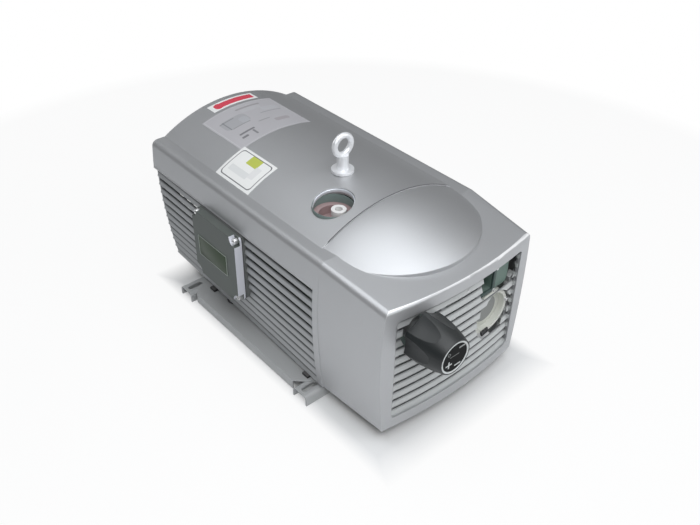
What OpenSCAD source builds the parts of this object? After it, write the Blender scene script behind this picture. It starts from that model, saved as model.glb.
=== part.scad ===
// Dry-running rotary-vane vacuum pump with a flange motor, under a louvred sound hood.
// X is the width, Y the length with the front grille towards -Y, Z is up from the floor.
// The origin is the middle of the outline on the floor.

/* [Hood] */
// Width across the shoulders of the hood
hood_w = 350; // [344:1:362]
// Length of the hood from its front corners to its rear edge
hood_l = 648; // [640:1:690]
// Height of the flat shoulder above the floor
shoulder_h = 299; // [296:1:312]
// Height of the top front edge above the floor
front_h = 283; // [278:1:290]
// Height of the lower edge above the floor
hood_bottom = 28; // [26:1:34]
// Wall thickness of the hood moulding
wall = 3; // [2:0.5:4]
// How far each side bulges between shoulder and lower edge
side_bulge = 8; // [4:1:12]
// How far each side draws in at its lower edge
foot_draw = 4; // [0:1:6]
// How far each side draws in at the rear lower corner
rear_draw = 16; // [8:1:18]
// Length of the smooth front part that tapers
cheek_l = 140; // [130:1:150]
// How far each cheek tapers in at the front
cheek_taper = 10; // [6:1:12]
// How far the front face bulges forward in the middle
front_bulge = 15; // [10:1:18]
// Radius along the shoulder edge
shoulder_r = 12; // [8:1:14]
// Radius along the top front edge
brow_r = 8; // [6:1:12]

/* [Crown] */
// Width of the barrel crown at its foot
crown_w = 294; // [280:1:300]
// Height of the crown above the shoulder
crown_rise = 41; // [36:1:44]
// Distance from the front corners back to the cross seam where the dome starts
seam_back = 169; // [165:1:180]
// How much lower the dome lies than the crown at the seam
seam_step = 2; // [1:0.5:3]
// Radius of the dome's foot
dome_r = 154; // [150:1:156]

/* [Port opening] */
// Diameter of the round opening over the intake port
hole_d = 72; // [68:1:80]
// Distance of the opening from the middle plane
hole_out = 77; // [74:1:80]
// Distance of the opening behind the front corners
hole_back = 225; // [222:1:230]
// Depth of the collar inside the opening
collar_h = 12; // [8:1:16]

/* [Side louvres] */
// Height of the upper edge of the louvred area above the floor
skirt_h = 243; // [238:1:248]
// How far the smooth cheek runs past the start of the taper
cheek_lap = 14; // [8:1:18]
// Number of slats on each side
side_slats = 11; // [9:1:12]
// Thickness of a slat
slat_t = 2; // [1.5:0.5:3]
// How far a slat leans outwards from its top to its lower lip
slat_lean = 3.5; // [3:0.5:6]
// Share of a slat's pitch that the slat covers
slat_share = 0.54; // [0.5:0.02:0.7]
// Width of the ribs that hold the slats
rib_w = 10; // [8:1:12]
// Depth of the ribs that hold the slats
rib_depth = 8; // [6:1:9]

/* [Front grille] */
// Width of the grille opening
grille_w = 288; // [280:1:292]
// Height of the grille opening's lower edge above the floor
grille_low = 49; // [46:1:54]
// Height of the grille opening's upper edge above the floor
grille_high = 258; // [254:1:262]
// Corner radius of the grille opening
grille_r = 8; // [6:1:16]
// Number of slats in the grille
front_slats = 11; // [9:1:12]
// How far the slats lie behind the front face
grille_recess = 5; // [4:1:7]
// Width of the frame behind the edge of the opening
grille_frame = 8; // [6:1:10]
// Distance of the upper right window from the middle plane
window_left = 46; // [42:1:50]
// Number of slats left out for the upper right window
window_slats = 3; // [2:1:3]
// Distance of the round cut-out from the middle plane
outlet_x = 92; // [90:1:94]
// Height of the round cut-out above the floor
outlet_h = 145; // [142:1:148]
// Radius of the round cut-out
outlet_r = 47; // [46:1:49]
// Gap between the valve neck and the hole round it
knob_hole_gap = 12; // [10:1:14]

/* [Base] */
// Width across the bolting rails
rail_l = 410; // [404:1:420]
// Width of one bolting rail
rail_w = 38; // [34:1:42]
// Height of the bolting rails
rail_h = 20.5; // [18:0.5:22]
// Distance between the two bolting rails, centre to centre
rail_gap = 370; // [365:1:375]
// Distance of the front rail behind the front corners
rail_back = 162; // [158:1:164]
// Thickness of the rail's steel
rail_t = 3; // [2.5:0.5:4]
// Width of the bolt slots
slot_w = 11; // [9:0.5:13]
// Length of the bolt slots, between the centres of their round ends
slot_l = 21; // [18:1:24]
// Distance of a slot's centre from the end of its rail
slot_inset = 22; // [20:1:24]
// Width of the base pan
pan_w = 396; // [390:1:400]
// Thickness of the base pan
pan_t = 2.5; // [2:0.5:3]
// Depth of the pan's folded side lips
lip_h = 20; // [16:1:20]
// Radius of the cable hole in the pan, under the terminal box's gland
cable_hole_r = 16; // [14:1:18]
// Cut corners of the pan
pan_cut = 22; // [16:1:30]
// Radius of the rubber buffers
buffer_r = 14; // [12:1:16]
// Height of the rubber buffers
buffer_h = 20; // [18:1:22]
// Distance between the buffers across the width
buffer_gap = 250; // [240:1:256]
// Radius along the upper edges of a rail
rail_round = 8; // [6:1:9]
// How far the pan lies on each rail
pan_lap = 12; // [8:1:14]
// Thickness of the bearers on the buffers
bearer_t = 6; // [5:0.5:7]
// Width of the bearers on the buffers
bearer_w = 44; // [40:1:46]

/* [Pump] */
// Height of the shaft's axis above the floor
axis_h = 170; // [168:1:172]
// Radius of the pump rotor
rotor_r = 70; // [66:1:72]
// Distance between the rotor's axis and the bore's axis
eccentricity = 12; // [10:1:13]
// Length of the pump cylinder
cylinder_l = 180; // [170:1:182]
// Wall of the pump cylinder
cylinder_wall = 16; // [14:1:17]
// Distance of the pump cylinder behind the front corners
cylinder_back = 95; // [94:1:98]
// Height of the cooling fins on the pump cylinder
pump_fin_h = 12; // [8:1:14]
// Thickness of the end plates
plate_t = 20; // [18:1:22]
// Number of vanes
vane_count = 5; // [5:1:5]
// Thickness of a vane
vane_t = 6; // [5:0.5:7]
// Depth of a vane
vane_h = 36; // [30:1:38]
// Radius of the pump shaft
shaft_r = 17.5; // [15:0.5:19]
// How far an end plate stands out past the cylinder
plate_rim = 8; // [6:1:9]
// Thickness of a pump fin
fin_t = 5; // [4:0.5:6]
// Width of a cast foot
foot_w = 30; // [26:1:34]
// Distance between the pump's feet
foot_gap = 120; // [110:1:124]
// Width of a ball bearing
bearing_w = 15; // [13:1:15]
// Outer radius of a pump bearing
bearing_r = 36; // [34:1:37]
// Thickness of the cap over the front bearing
bearing_cap_t = 8; // [6:1:9]
// How far the rotor's stub stands out past the shaft
seal_land = 8; // [6:0.5:9]
// Gap between the rotor's ends and the end plates
face_gap = 0.1; // [0.05:0.05:0.2]
// How far a seated vane lies inside the rotor's face
vane_inset = 0.5; // [0.4:0.1:1]

/* [Cooling fan and coupling] */
// Length of the bell housing between pump and motor
bell_l = 83; // [80:1:88]
// Outer radius of the bell housing
bell_r = 110; // [106:1:114]
// Radius of the cooling fan
fan_r = 96; // [90:1:98]
// Number of blades on the cooling fan
fan_blades = 9; // [7:1:10]
// Radius of the coupling's hubs
hub_r = 28; // [26:1:30]
// Length of each coupling hub without its claws
hub_l = 24; // [22:1:25]
// Length of the coupling's claws
claw_l = 14; // [12:1:16]
// Gap between the rear end plate and the coupling hub
hub_gap = 3; // [2:0.5:4]
// Angle that a claw covers
claw_turn = 52; // [50:1:53]
// Number of claws on each half of the coupling
claw_count = 3; // [2:1:4]
// Angle of the first claw at rest
claw_start = 20; // [14:1:26]
// Inner radius of the claws
claw_in = 12; // [11:1:13]
// Width of the cooling fan's blades
fan_w = 34; // [30:1:38]
// Thickness of a fan blade
blade_t = 3; // [2:0.5:3]
// Wall of the bell housing
bell_wall = 6; // [5:0.5:7]
// Number of air windows in the bell housing
bell_windows = 6; // [4:1:6]

/* [Motor] */
// Outer radius of the motor housing without its fins
motor_r = 106; // [102:1:108]
// Height of the motor's cooling fins
motor_fin_h = 13; // [10:1:14]
// Number of cooling fins round the motor
motor_fins = 40; // [32:4:44]
// Length of the motor housing
motor_l = 186; // [180:1:190]
// Thickness of the motor's end shields
shield_t = 14; // [12:1:16]
// Radius of the motor rotor
motor_rotor_r = 58; // [52:1:60]
// Air gap between rotor and stator
air_gap = 0.5; // [0.4:0.1:0.8]
// Radius of the motor shaft
motor_shaft_r = 14; // [12:0.5:16]
// Depth of the motor's fan cowl
cowl_l = 42; // [40:1:44]
// Outer radius of a motor bearing
motor_bearing_r = 31; // [30:1:33]
// Distance between the motor's feet
motor_foot_gap = 140; // [134:1:144]
// Outer radius of the stator
stator_out = 92; // [90:1:93]
// Distance of the stator from each end of the housing
stator_back = 24; // [20:1:28]
// How far the shaft thickens inside the motor rotor
stub_step = 5; // [4:0.5:6]
// Radius of the motor's own fan
motor_fan_r = 86; // [80:1:90]
// Number of blades on the motor's own fan
motor_fan_blades = 7; // [5:1:8]
// Wall of the fan cowl
cowl_wall = 2; // [1.5:0.5:2.5]
// Number of cowl slots above and below the middle one
cowl_slots = 4; // [3:1:4]
// Share of the fan's width that a cowl slot covers
cowl_slot_share = 0.9; // [0.8:0.05:0.95]

/* [Terminal box] */
// Length of the terminal box along the hood
box_l = 136; // [130:1:140]
// Height of the terminal box
box_h = 140; // [134:1:142]
// How far the box lid stands out past the hood's shoulder
box_proud = 24; // [21:1:27]
// Distance of the box behind the front corners
box_back = 346; // [340:1:350]
// Wall of the terminal box
box_wall = 4; // [3:0.5:5]
// Thickness of the lid
lid_t = 16; // [12:1:18]
// Radius of the cable gland's body
gland_r = 13; // [11:1:15]
// Thickness of the gasket under the lid
gasket_t = 2; // [1.5:0.5:3]
// Radius of the gland's thread, as a share of its body
gland_thread_share = 0.75; // [0.7:0.01:0.8]
// Radius of the gland's cap nut, as a share of its body
gland_nut_share = 0.9; // [0.85:0.01:0.95]
// Place of the gland along the box, as a share of its length
gland_place_share = 0.7; // [0.65:0.05:0.75]
// Place of the gland across the box, as a share of its depth, so that its lead clears the louvre
gland_across_share = 0.45; // [0.4:0.01:0.48]

/* [Intake port] */
// Radius of the port's bore, for a two-inch pipe thread
port_bore_r = 28.5; // [28:0.1:29]
// Outer radius of the port
port_r = 35; // [34:0.5:36]
// Depth of the port's rim below the top of the crown
port_drop = 36; // [34:1:40]
// Travel of the non-return disc
check_travel = 8; // [6:1:10]
// Radius of the passage down to the bore
duct_r = 20; // [18:1:21]
// Height of the port's chamber
chamber_l = 36; // [32:1:38]
// How far the chamber is wider than the thread
chamber_step = 2.5; // [2:0.5:3]
// Depth of the non-return disc's seat below the port's rim
seat_drop = 42; // [40:1:46]
// Thickness of the non-return disc
check_t = 4; // [3:0.5:5]
// Wall of the port's plug
plug_rim = 4; // [3:0.5:5]
// Outer radius of the nipple in the plug
nipple_r = 13; // [11:1:14]
// How much thinner the nipple is below its hose end
nipple_step = 1; // [0.5:0.5:1.5]

/* [Regulating valve] */
// Distance of the valve's axis from the middle plane
valve_out = 96; // [94:1:98]
// Height of the valve's axis above the floor
valve_h = 215; // [213:1:217]
// Length of the knob
knob_l = 70; // [64:1:74]
// Radius of the knob at its base
knob_base_r = 42; // [40:1:44]
// Radius of the knob at its face
knob_face_r = 31; // [29:1:33]
// Radius of the valve's neck inside the knob
neck_r = 20; // [18.5:0.5:21]
// Travel of the spring plate from loose to tight
plate_travel = 12; // [8:1:12]
// Travel of the relief disc
relief_travel = 5; // [4:1:6]
// Distance of the knob's base in front of the front corners
knob_stand = 11.5; // [10:0.5:12]
// Number of flats round the knob
knob_grips = 6; // [5:1:8]
// How far the knob's flank swells past a straight line
knob_swell = 3; // [2:0.5:4]
// Length of the flats, as a share of the knob
grip_share = 0.72; // [0.65:0.01:0.78]
// Width of the ring on the knob's cap
cap_ring_w = 2.5; // [2:0.5:3]
// Width of the knob's rim round its cap
knob_rim = 2; // [1.5:0.5:4]
// Outer radius of the duct to the valve
valve_duct_r = 23; // [22:0.5:23]
// Wall of the duct to the valve
duct_wall = 5; // [4:0.5:6]
// Distance of the valve's bridge in front of its seat
bridge_back = 30; // [28:1:32]
// Thickness of the valve's walls, discs and flange
valve_wall = 4; // [3.5:0.5:5]
// Length of the spring when tight
spring_l = 22; // [20:1:24]
// Outer radius of the spring
spring_r = 13; // [12:0.5:14]
// Thickness of the spring's wire
spring_wire = 3; // [2:0.5:3.5]
// Wall of the valve's neck
neck_wall = 3; // [2.5:0.5:3.5]
// Radius of the relief disc's stem
stem_r = 4; // [3.5:0.5:4.5]
// Radius of the relief disc's seat
seat_r = 12; // [11:0.5:13]
// Radius of the relief disc
relief_r = 15; // [14:0.5:16]
// Radius of the valve's flange
flange_r = 28; // [27:0.5:29]

/* [Exhaust side] */
// Radius of the silencer cup
cup_r = 44; // [42:1:45]
// Wall of the silencer cup
cup_wall = 6; // [5:0.5:7]
// Distance of the cup's rim behind the front corners
cup_back = 6; // [5:1:8]
// Gap between the silencer cup and the outlet box above it
exhaust_gap = 3; // [2:1:4]
// Distance of the outlet box from the middle plane
exhaust_left = 46; // [44:1:48]
// Width of the outlet box
exhaust_w = 84; // [80:1:84]
// Height of the outlet box
exhaust_h = 66; // [62:1:66]
// Length of the outlet box
exhaust_l = 66; // [60:1:66]
// Width of the outlet box's mouth
mouth_w = 30; // [26:1:34]
// Height of the outlet box's mouth
mouth_h = 40; // [36:1:44]
// Depth of the outlet box's mouth
mouth_l = 40; // [30:1:46]

/* [Lifting eye] */
// Outer diameter of the ring
eye_d = 46; // [44:1:50]
// Diameter of the ring's wire
eye_wire = 10.5; // [9:0.5:11]
// Distance of the eye behind the front corners
eye_back = 279; // [278:1:282]
// Distance of the eye from the middle plane, to the left
eye_out = 11; // [0:1:12]
// Diameter of the eye's threaded shank
eye_thread = 10; // [8:2:12]
// Height of the shank between collar and ring
eye_neck = 27; // [22:1:30]
// Height of the eye's collar
eye_collar_h = 5; // [4:0.5:7]
// Radius of the eye's collar
eye_collar_r = 20; // [18:1:22]
// Radius of the post under the eye
post_r = 13; // [11:1:14]

/* [Hidden] */
$fn = 96;
// Overrun of cuts past the faces they open
over = 1;
// Running clearance round turning and sliding pieces
run = 0.05;
// Clearance of pieces that only lie beside each other
clear = 0.3;

// Lengthwise places
total_l = hood_l + knob_stand + knob_l;
y_front = -total_l / 2 + knob_stand + knob_l;
y_rear = y_front + hood_l;
y_break = y_front + cheek_l;
y_seam = y_front + seam_back;
y_cylinder = y_front + cylinder_back;
y_cylinder_end = y_cylinder + cylinder_l;
y_bell = y_cylinder_end + plate_t;
y_motor = y_bell + bell_l;
y_housing = y_motor + shield_t;
y_housing_end = y_housing + motor_l;
y_cowl = y_housing_end + shield_t;
y_hole = y_front + hole_back;
y_eye = y_front + eye_back;
y_box = y_front + box_back;

// Places that go with the rails' ends and with the hood's side
slot_gap = rail_l - 2 * slot_inset;
box_out = hood_w / 2 + box_proud;

// Hood section
side_h = shoulder_h - hood_bottom;
barrel_r = (side_h * side_h / 4 + side_bulge * side_bulge) / (2 * side_bulge);
barrel_h = hood_bottom + side_h / 2 + foot_draw * barrel_r / side_h;
barrel_x = hood_w / 2 - sqrt(pow(barrel_r, 2) - pow(shoulder_h - barrel_h, 2));
corner_h = shoulder_h - shoulder_r;
corner_x = barrel_x + sqrt(pow(barrel_r - shoulder_r, 2) - pow(corner_h - barrel_h, 2));
corner_sin = (corner_h - barrel_h) / (barrel_r - shoulder_r);
crown_r = (pow(crown_w / 2, 2) + pow(crown_rise, 2)) / (2 * crown_rise);
crown_top = shoulder_h + crown_rise;
crown_h = crown_top - crown_r;
port_top_h = crown_top - port_drop;
chamber_top = port_top_h - seat_drop;
port_floor = chamber_top - chamber_l;
front_half = hood_w / 2 - cheek_taper;
front_r = (front_half * front_half + front_bulge * front_bulge) / (2 * front_bulge);
y_front_axis = y_front - front_bulge + front_r;
slope = atan((shoulder_h - front_h) / cheek_l);
taper = atan(cheek_taper / cheek_l);
rear_turn = atan(rear_draw / side_h);
dome_drop = 2 * (shoulder_h - front_h);
face_turn = 2 * asin(hood_w / front_r);

function side_x(z) = barrel_x + sqrt(pow(barrel_r, 2) - pow(z - barrel_h, 2));
function crown_z(x) = crown_h + sqrt(pow(crown_r, 2) - pow(x, 2));
function face_y(x) = y_front_axis - sqrt(pow(front_r, 2) - pow(x, 2));

// Extrude a section drawn in X and Z along Y
module along_y(y0, y1) {
    translate([0, y1, 0]) rotate([90, 0, 0]) linear_extrude(y1 - y0) children();
}

// Extrude an outline drawn in Y and Z along X
module along_x(x0, x1) {
    translate([x0, 0, 0]) rotate([90, 0, 90]) linear_extrude(x1 - x0) children();
}

// Round bar along Y at a place in X and Z
module bar_y(x, z, r, y0, y1) {
    translate([x, y0, z]) rotate([-90, 0, 0]) cylinder(r = r, h = y1 - y0);
}

// Outline with round corners, from its lower left to its upper right
module round_box(x0, z0, x1, z1, r) {
    translate([x0 + r, z0]) square([x1 - x0 - 2 * r, z1 - z0]);
    translate([x0, z0 + r]) square([x1 - x0, z1 - z0 - 2 * r]);
    for (x = [x0 + r, x1 - r], z = [z0 + r, z1 - r])
        translate([x, z]) circle(r);
}

// One side of the hood's section, drawn for +X: the barrel side and the round shoulder
module side_section(d, low) {
    corner_top = corner_h + (shoulder_r - d) * corner_sin;
    intersection() {
        translate([barrel_x, barrel_h]) circle(barrel_r - d);
        translate([-hood_w, low]) square([2 * hood_w, corner_top - low]);
    }
    translate([corner_x, corner_h]) circle(shoulder_r - d);
    translate([-hood_w, corner_h]) square([hood_w + corner_x, shoulder_r - d]);
}

// Section of the hood below the crown
module hood_section(d, low) {
    intersection() {
        side_section(d, low);
        mirror([1, 0]) side_section(d, low);
    }
}

// Section of the barrel crown
module crown_section(d) {
    intersection() {
        translate([0, crown_h]) circle(crown_r - d);
        translate([-crown_w / 2 + d, shoulder_h - dome_drop])
            square([crown_w - 2 * d, crown_rise + dome_drop]);
    }
}

// One cheek of the tapered front: the section turned in and tipped down about the break
module cheek(d, low) {
    translate([hood_w / 2, y_break, shoulder_h])
        rotate([slope, 0, 0]) rotate([0, 0, -taper])
            translate([-hood_w / 2, -y_break, -shoulder_h])
                along_y(y_break - 2 * cheek_l, y_break + cheek_l / 2) side_section(d, low);
}

// The bulged front face with its round brow, turned about a far vertical axis
module front_round(d, low) {
    brow_x = front_r - brow_r;
    brow_h = front_h + brow_r * tan(slope) - brow_r / cos(slope);
    touch_x = brow_x + (brow_r - d) * sin(slope);
    touch_h = brow_h + (brow_r - d) * cos(slope);
    inner_x = front_r - 2 * cheek_l;
    translate([0, y_front_axis, 0]) rotate([0, 0, -90 - face_turn / 2]) rotate_extrude(angle = face_turn) {
        translate([inner_x, low]) square([front_r - d - inner_x, brow_h - low]);
        translate([brow_x, brow_h]) circle(brow_r - d);
        polygon([
            [inner_x, low], [touch_x, low], [touch_x, touch_h],
            [inner_x, touch_h + (touch_x - inner_x) * tan(slope)]
        ]);
    }
}

// Round front half of the crown: a cap of the crown's own radius, cut round at its foot
module dome(d) {
    translate([0, y_seam, 0]) intersection() {
        translate([0, 0, crown_h - seam_step]) sphere(crown_r - d);
        translate([0, 0, shoulder_h - dome_drop])
            cylinder(r = dome_r - d, h = crown_rise + dome_drop);
    }
}

// Whole outer form of the hood, drawn in by d, open below and behind when drawn in
module hood_form(d) {
    low = d > 0 ? hood_bottom - over : hood_bottom;
    rear = d > 0 ? y_rear + over : y_rear;
    along_y(y_break, rear) hood_section(d, low);
    intersection() {
        cheek(d, low);
        mirror([1, 0, 0]) cheek(d, low);
        front_round(d, low);
        translate([-hood_w, y_break - 2 * cheek_l, low])
            cube([2 * hood_w, 2 * cheek_l, shoulder_h]);
    }
    along_y(y_seam, rear) crown_section(d);
    dome(d);
}

module hood_shell() {
    color("silver") difference() {
        union() {
            difference() {
                hood_form(0);
                hood_form(wall);
            }
            intersection() {
                bar_z(-hole_out, y_hole, hole_d / 2 + wall, shoulder_h, crown_top);
                along_y(y_hole - hole_d, y_hole + hole_d) difference() {
                    crown_section(0);
                    crown_section(collar_h);
                }
            }
        }
        bar_z(-hole_out, y_hole, hole_d / 2, shoulder_h - over, crown_top + over);
        bar_z(-eye_out, y_eye, eye_thread / 2 + clear, shoulder_h, crown_top + over);
        translate([-hood_w, y_break + cheek_lap, hood_bottom - over])
            cube([2 * hood_w, hood_l, skirt_h - hood_bottom + over]);
        along_y(y_front - 2 * front_bulge, y_front + front_bulge)
            round_box(-grille_w / 2, grille_low, grille_w / 2, grille_high, grille_r);
    }
}

// Round bar along Z
module bar_z(x, y, r, z0, z1) {
    translate([x, y, z0]) cylinder(r = r, h = z1 - z0);
}

// Louvred side panel for +X, with a window where the terminal box comes through
side_pitch = (skirt_h - hood_bottom) / side_slats;
slat_rise = side_pitch * slat_share;
y_louvre = y_break + cheek_lap + clear;
y_louvre_end = y_rear - wall - clear;
rib_places = [y_louvre, y_box - rib_w - 2 * clear, y_box + box_l + 2 * clear, y_louvre_end - rib_w];

module side_rib(y) {
    part = (y - y_louvre) / (y_louvre_end - y_louvre);
    translate([hood_w / 2, 0, shoulder_h])
        rotate([0, atan(rear_draw * part / side_h), 0])
            translate([-hood_w / 2, 0, -shoulder_h])
                intersection() {
                    along_y(y, y + rib_w) difference() {
                        hood_section(slat_lean + slat_t / 2, hood_bottom);
                        hood_section(wall + rib_depth, hood_bottom - over);
                    }
                    translate([0, y, hood_bottom]) cube([hood_w, rib_w, skirt_h - hood_bottom]);
                }
}

module louvre_panel() {
    slat_l = y_louvre_end - y_louvre;
    for (k = [0 : side_slats - 1]) {
        low = hood_bottom + k * side_pitch;
        draw = rear_draw * (shoulder_h - low) / side_h;
        translate([side_x(low), y_louvre, low])
            rotate([0, 0, atan(draw / slat_l)])
                along_y(0, slat_l) polygon([
                    [0, 0], [-slat_lean, slat_rise], [-slat_lean - slat_t, slat_rise], [-slat_t, 0]
                ]);
    }
    for (y = rib_places) side_rib(y);
}

module louvre_right() {
    color("silver") louvre_panel();
}

module louvre_left() {
    color("silver") difference() {
        mirror([1, 0, 0]) louvre_panel();
        translate([-hood_w, y_box - clear, axis_h - box_h / 2 - clear])
            cube([hood_w, box_l + 2 * clear, box_h + 2 * clear]);
    }
}

// Front grille: slats that follow the bulged face, with openings for the knob and the outlet
front_pitch = (grille_high - grille_low) / front_slats;
front_rise = front_pitch * slat_share;
knob_hole_r = neck_r + knob_hole_gap;

module grille_ring(r_out, r_in) {
    intersection() {
        translate([0, y_front_axis, 0]) rotate([0, 0, -90 - face_turn / 2]) rotate_extrude(angle = face_turn)
            translate([r_in, 0]) square([r_out - r_in, front_h - brow_r]);
        along_y(y_front - 2 * front_bulge, y_front + 2 * front_bulge) children();
    }
}

module grille_slat(z) {
    r = front_r - grille_recess;
    translate([0, y_front_axis, z]) rotate([0, 0, -90 - face_turn / 2]) rotate_extrude(angle = face_turn)
        polygon([
            [r, 0], [r - slat_lean, front_rise], [r - slat_lean - slat_t, front_rise],
            [r - slat_t, 0]
        ]);
}

module front_grille() {
    half = grille_w / 2;
    window_low = grille_high - window_slats * front_pitch;
    color("silver") difference() {
        union() {
            intersection() {
                for (k = [0 : front_slats - 1]) grille_slat(grille_low + k * front_pitch);
                along_y(y_front - 2 * front_bulge, y_front + 2 * front_bulge)
                    round_box(-half, grille_low, half, grille_high, grille_r);
            }
            grille_ring(front_r - wall - clear / 3, front_r - grille_recess - slat_t) difference() {
                round_box(-half - grille_frame, grille_low - grille_frame,
                          half + grille_frame, grille_high + grille_frame, grille_r);
                round_box(-half + slat_t, grille_low, half - slat_t, grille_high, grille_r);
            }
            for (x = [-half + slat_t, -half / 3, window_left - rib_w, half - slat_t - rib_w])
                grille_ring(front_r - grille_recess - slat_lean - slat_t / 2,
                            front_r - grille_recess - 4 * slat_lean)
                    translate([x, grille_low - grille_frame / 2])
                        square([rib_w, grille_high - grille_low + grille_frame]);
        }
        bar_y(-valve_out, valve_h, knob_hole_r, y_front - 2 * front_bulge, y_front + 2 * front_bulge);
        bar_y(outlet_x, outlet_h, outlet_r, y_front - 2 * front_bulge, y_front + 2 * front_bulge);
        along_y(y_front - 2 * front_bulge, y_front + 2 * front_bulge)
            round_box(window_left, window_low, half - slat_t, grille_high - slat_t, grille_r);
    }
}

// Outline of the rear panel, inside the hood's rear edge, drawn in at its lower corners
module rear_outline(d) {
    intersection() {
        hood_section(d, hood_bottom);
        rear_side(d);
        mirror([1, 0]) rear_side(d);
    }
    intersection() {
        crown_section(d);
        translate([-hood_w, shoulder_h - 2 * d]) square([2 * hood_w, crown_rise + 2 * d]);
    }
}

module rear_side(d) {
    translate([hood_w / 2, shoulder_h]) rotate(-rear_turn) translate([-hood_w / 2, -shoulder_h])
        side_section(d, hood_bottom - 2 * rear_draw);
}

module rear_panel() {
    half = grille_w / 2;
    color("silver") {
        along_y(y_rear - wall, y_rear) difference() {
            rear_outline(wall + clear / 3);
            round_box(-half, grille_low, half, grille_high, grille_r);
        }
        intersection() {
            for (k = [0 : front_slats - 1])
                translate([0, y_rear, grille_low + k * front_pitch])
                    along_x(-half, half) polygon([
                        [-slat_t, 0], [0, 0], [-slat_lean, front_rise],
                        [-slat_lean - slat_t, front_rise]
                    ]);
            along_y(y_rear - 2 * slat_lean, y_rear)
                round_box(-half, grille_low, half, grille_high, grille_r);
        }
        for (x = [-half, -half / 3, half / 3 - rib_w, half - rib_w])
            translate([x, y_rear - slat_lean - slat_t, grille_low - rib_w / 2])
                cube([rib_w, slat_lean, grille_high - grille_low + rib_w]);
    }
}

// Lifting eye: ring, neck and collar in one forging, with its thread in the post below
module eye_bolt() {
    ring_h = crown_top + eye_collar_h + eye_neck + eye_d / 2 - eye_wire / 2;
    color("white") {
        translate([-eye_out, y_eye, ring_h]) rotate([90, 0, 0])
            rotate_extrude() translate([(eye_d - eye_wire) / 2, 0]) circle(eye_wire / 2);
        bar_z(-eye_out, y_eye, eye_wire, crown_top + eye_collar_h, ring_h - eye_d / 2 + eye_wire / 2);
        bar_z(-eye_out, y_eye, eye_collar_r, crown_top, crown_top + eye_collar_h);
        bar_z(-eye_out, y_eye, eye_thread / 2, post_top - 2 * eye_thread, crown_top + eye_collar_h / 2);
    }
}
post_top = crown_h + sqrt(pow(crown_r - wall, 2) - pow(eye_out + post_r, 2)) - clear;

// Base: two cross rails, the pan between them, buffers and bearers
y_rail_front = y_front + rail_back;
y_rail_rear = y_rail_front + rail_gap;
pan_top = rail_h + pan_t;
buffer_top = pan_top + buffer_h;
bearer_top = buffer_top + bearer_t;
y_buffer_front = y_rail_front + rail_w / 2 + buffer_r;
y_buffer_rear = y_rail_rear - rail_w / 2 - buffer_r;

module rail(y) {
    half = rail_w / 2;
    color("gray") difference() {
        along_x(-rail_l / 2, rail_l / 2) difference() {
            round_box(y - half, -rail_round, y + half, rail_h, rail_round);
            round_box(y - half + rail_t, -rail_round - over, y + half - rail_t, rail_h - rail_t,
                      rail_round - rail_t);
            translate([y - rail_w, -2 * rail_round]) square([2 * rail_w, 2 * rail_round]);
        }
        for (s = [-1, 1], e = [-1, 1])
            bar_z(s * slot_gap / 2 + e * slot_l / 2, y, slot_w / 2, 0, rail_h + over);
        for (s = [-1, 1])
            translate([s * slot_gap / 2 - slot_l / 2, y - slot_w / 2, 0])
                cube([slot_l, slot_w, rail_h + over]);
    }
}

module rail_front() {
    rail(y_rail_front);
}

module rail_rear() {
    rail(y_rail_rear);
}

module base_pan() {
    y0 = y_rail_front + rail_w / 2 - pan_lap;
    y1 = y_rail_rear - rail_w / 2 + pan_lap;
    half = pan_w / 2;
    color("gray") {
        translate([0, 0, rail_h]) linear_extrude(pan_t) difference() {
            polygon([
                [-half + pan_cut, y0], [half - pan_cut, y0], [half, y0 + pan_cut],
                [half, y1 - pan_cut], [half - pan_cut, y1], [-half + pan_cut, y1],
                [-half, y1 - pan_cut], [-half, y0 + pan_cut]
            ]);
            translate([-gland_x, y_gland]) circle(cable_hole_r);
        }
        for (s = [-1, 1])
            translate([s > 0 ? half - pan_t : -half, y0 + pan_cut, pan_top - lip_h])
                cube([pan_t, y1 - y0 - 2 * pan_cut, lip_h - pan_t / 2]);
    }
}

module buffer(x, y) {
    waist = buffer_r / 8;
    color([0.1, 0.1, 0.1]) translate([x, y, pan_top]) rotate_extrude() difference() {
        square([buffer_r, buffer_h]);
        translate([buffer_r + buffer_h - waist, buffer_h / 2]) circle(buffer_h);
    }
}

module buffer_front_left() {
    buffer(-buffer_gap / 2, y_buffer_front);
}

module buffer_front_right() {
    buffer(buffer_gap / 2, y_buffer_front);
}

module buffer_rear_left() {
    buffer(-buffer_gap / 2, y_buffer_rear);
}

module buffer_rear_right() {
    buffer(buffer_gap / 2, y_buffer_rear);
}

// Cross bearer: a folded steel strip on two buffers that carries the machine's feet
module bearer(y) {
    half = buffer_gap / 2 + buffer_r;
    color("gray") {
        translate([-half, y - bearer_w / 2, buffer_top]) cube([2 * half, bearer_w, bearer_t]);
        for (s = [-1, 1])
            translate([-half + 2 * buffer_r, y + (s > 0 ? bearer_w / 2 - rail_t : -bearer_w / 2),
                       buffer_top - 2 * bearer_t])
                cube([2 * half - 4 * buffer_r, rail_t, 2 * bearer_t]);
    }
}

module bearer_front() {
    bearer(y_buffer_front);
}

module bearer_rear() {
    bearer(y_buffer_rear);
}

// Pump: the bore lies lower than the shaft, so the rotor seals along the top
bore_r = rotor_r + eccentricity + run;
bore_h = axis_h - eccentricity;
cylinder_r = bore_r + cylinder_wall;
plate_r = cylinder_r + plate_rim;
fin_angles = [for (a = [-60 : 12 : 96]) a, for (a = [192 : 12 : 240]) a];

// Two cast feet from the bearer up to a round body
module feet(y, h, gap) {
    for (s = [-1, 1])
        translate([s * gap / 2 - foot_w / 2, y - bearer_w / 2, bearer_top])
            cube([foot_w, bearer_w, h - bearer_top]);
}

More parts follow.
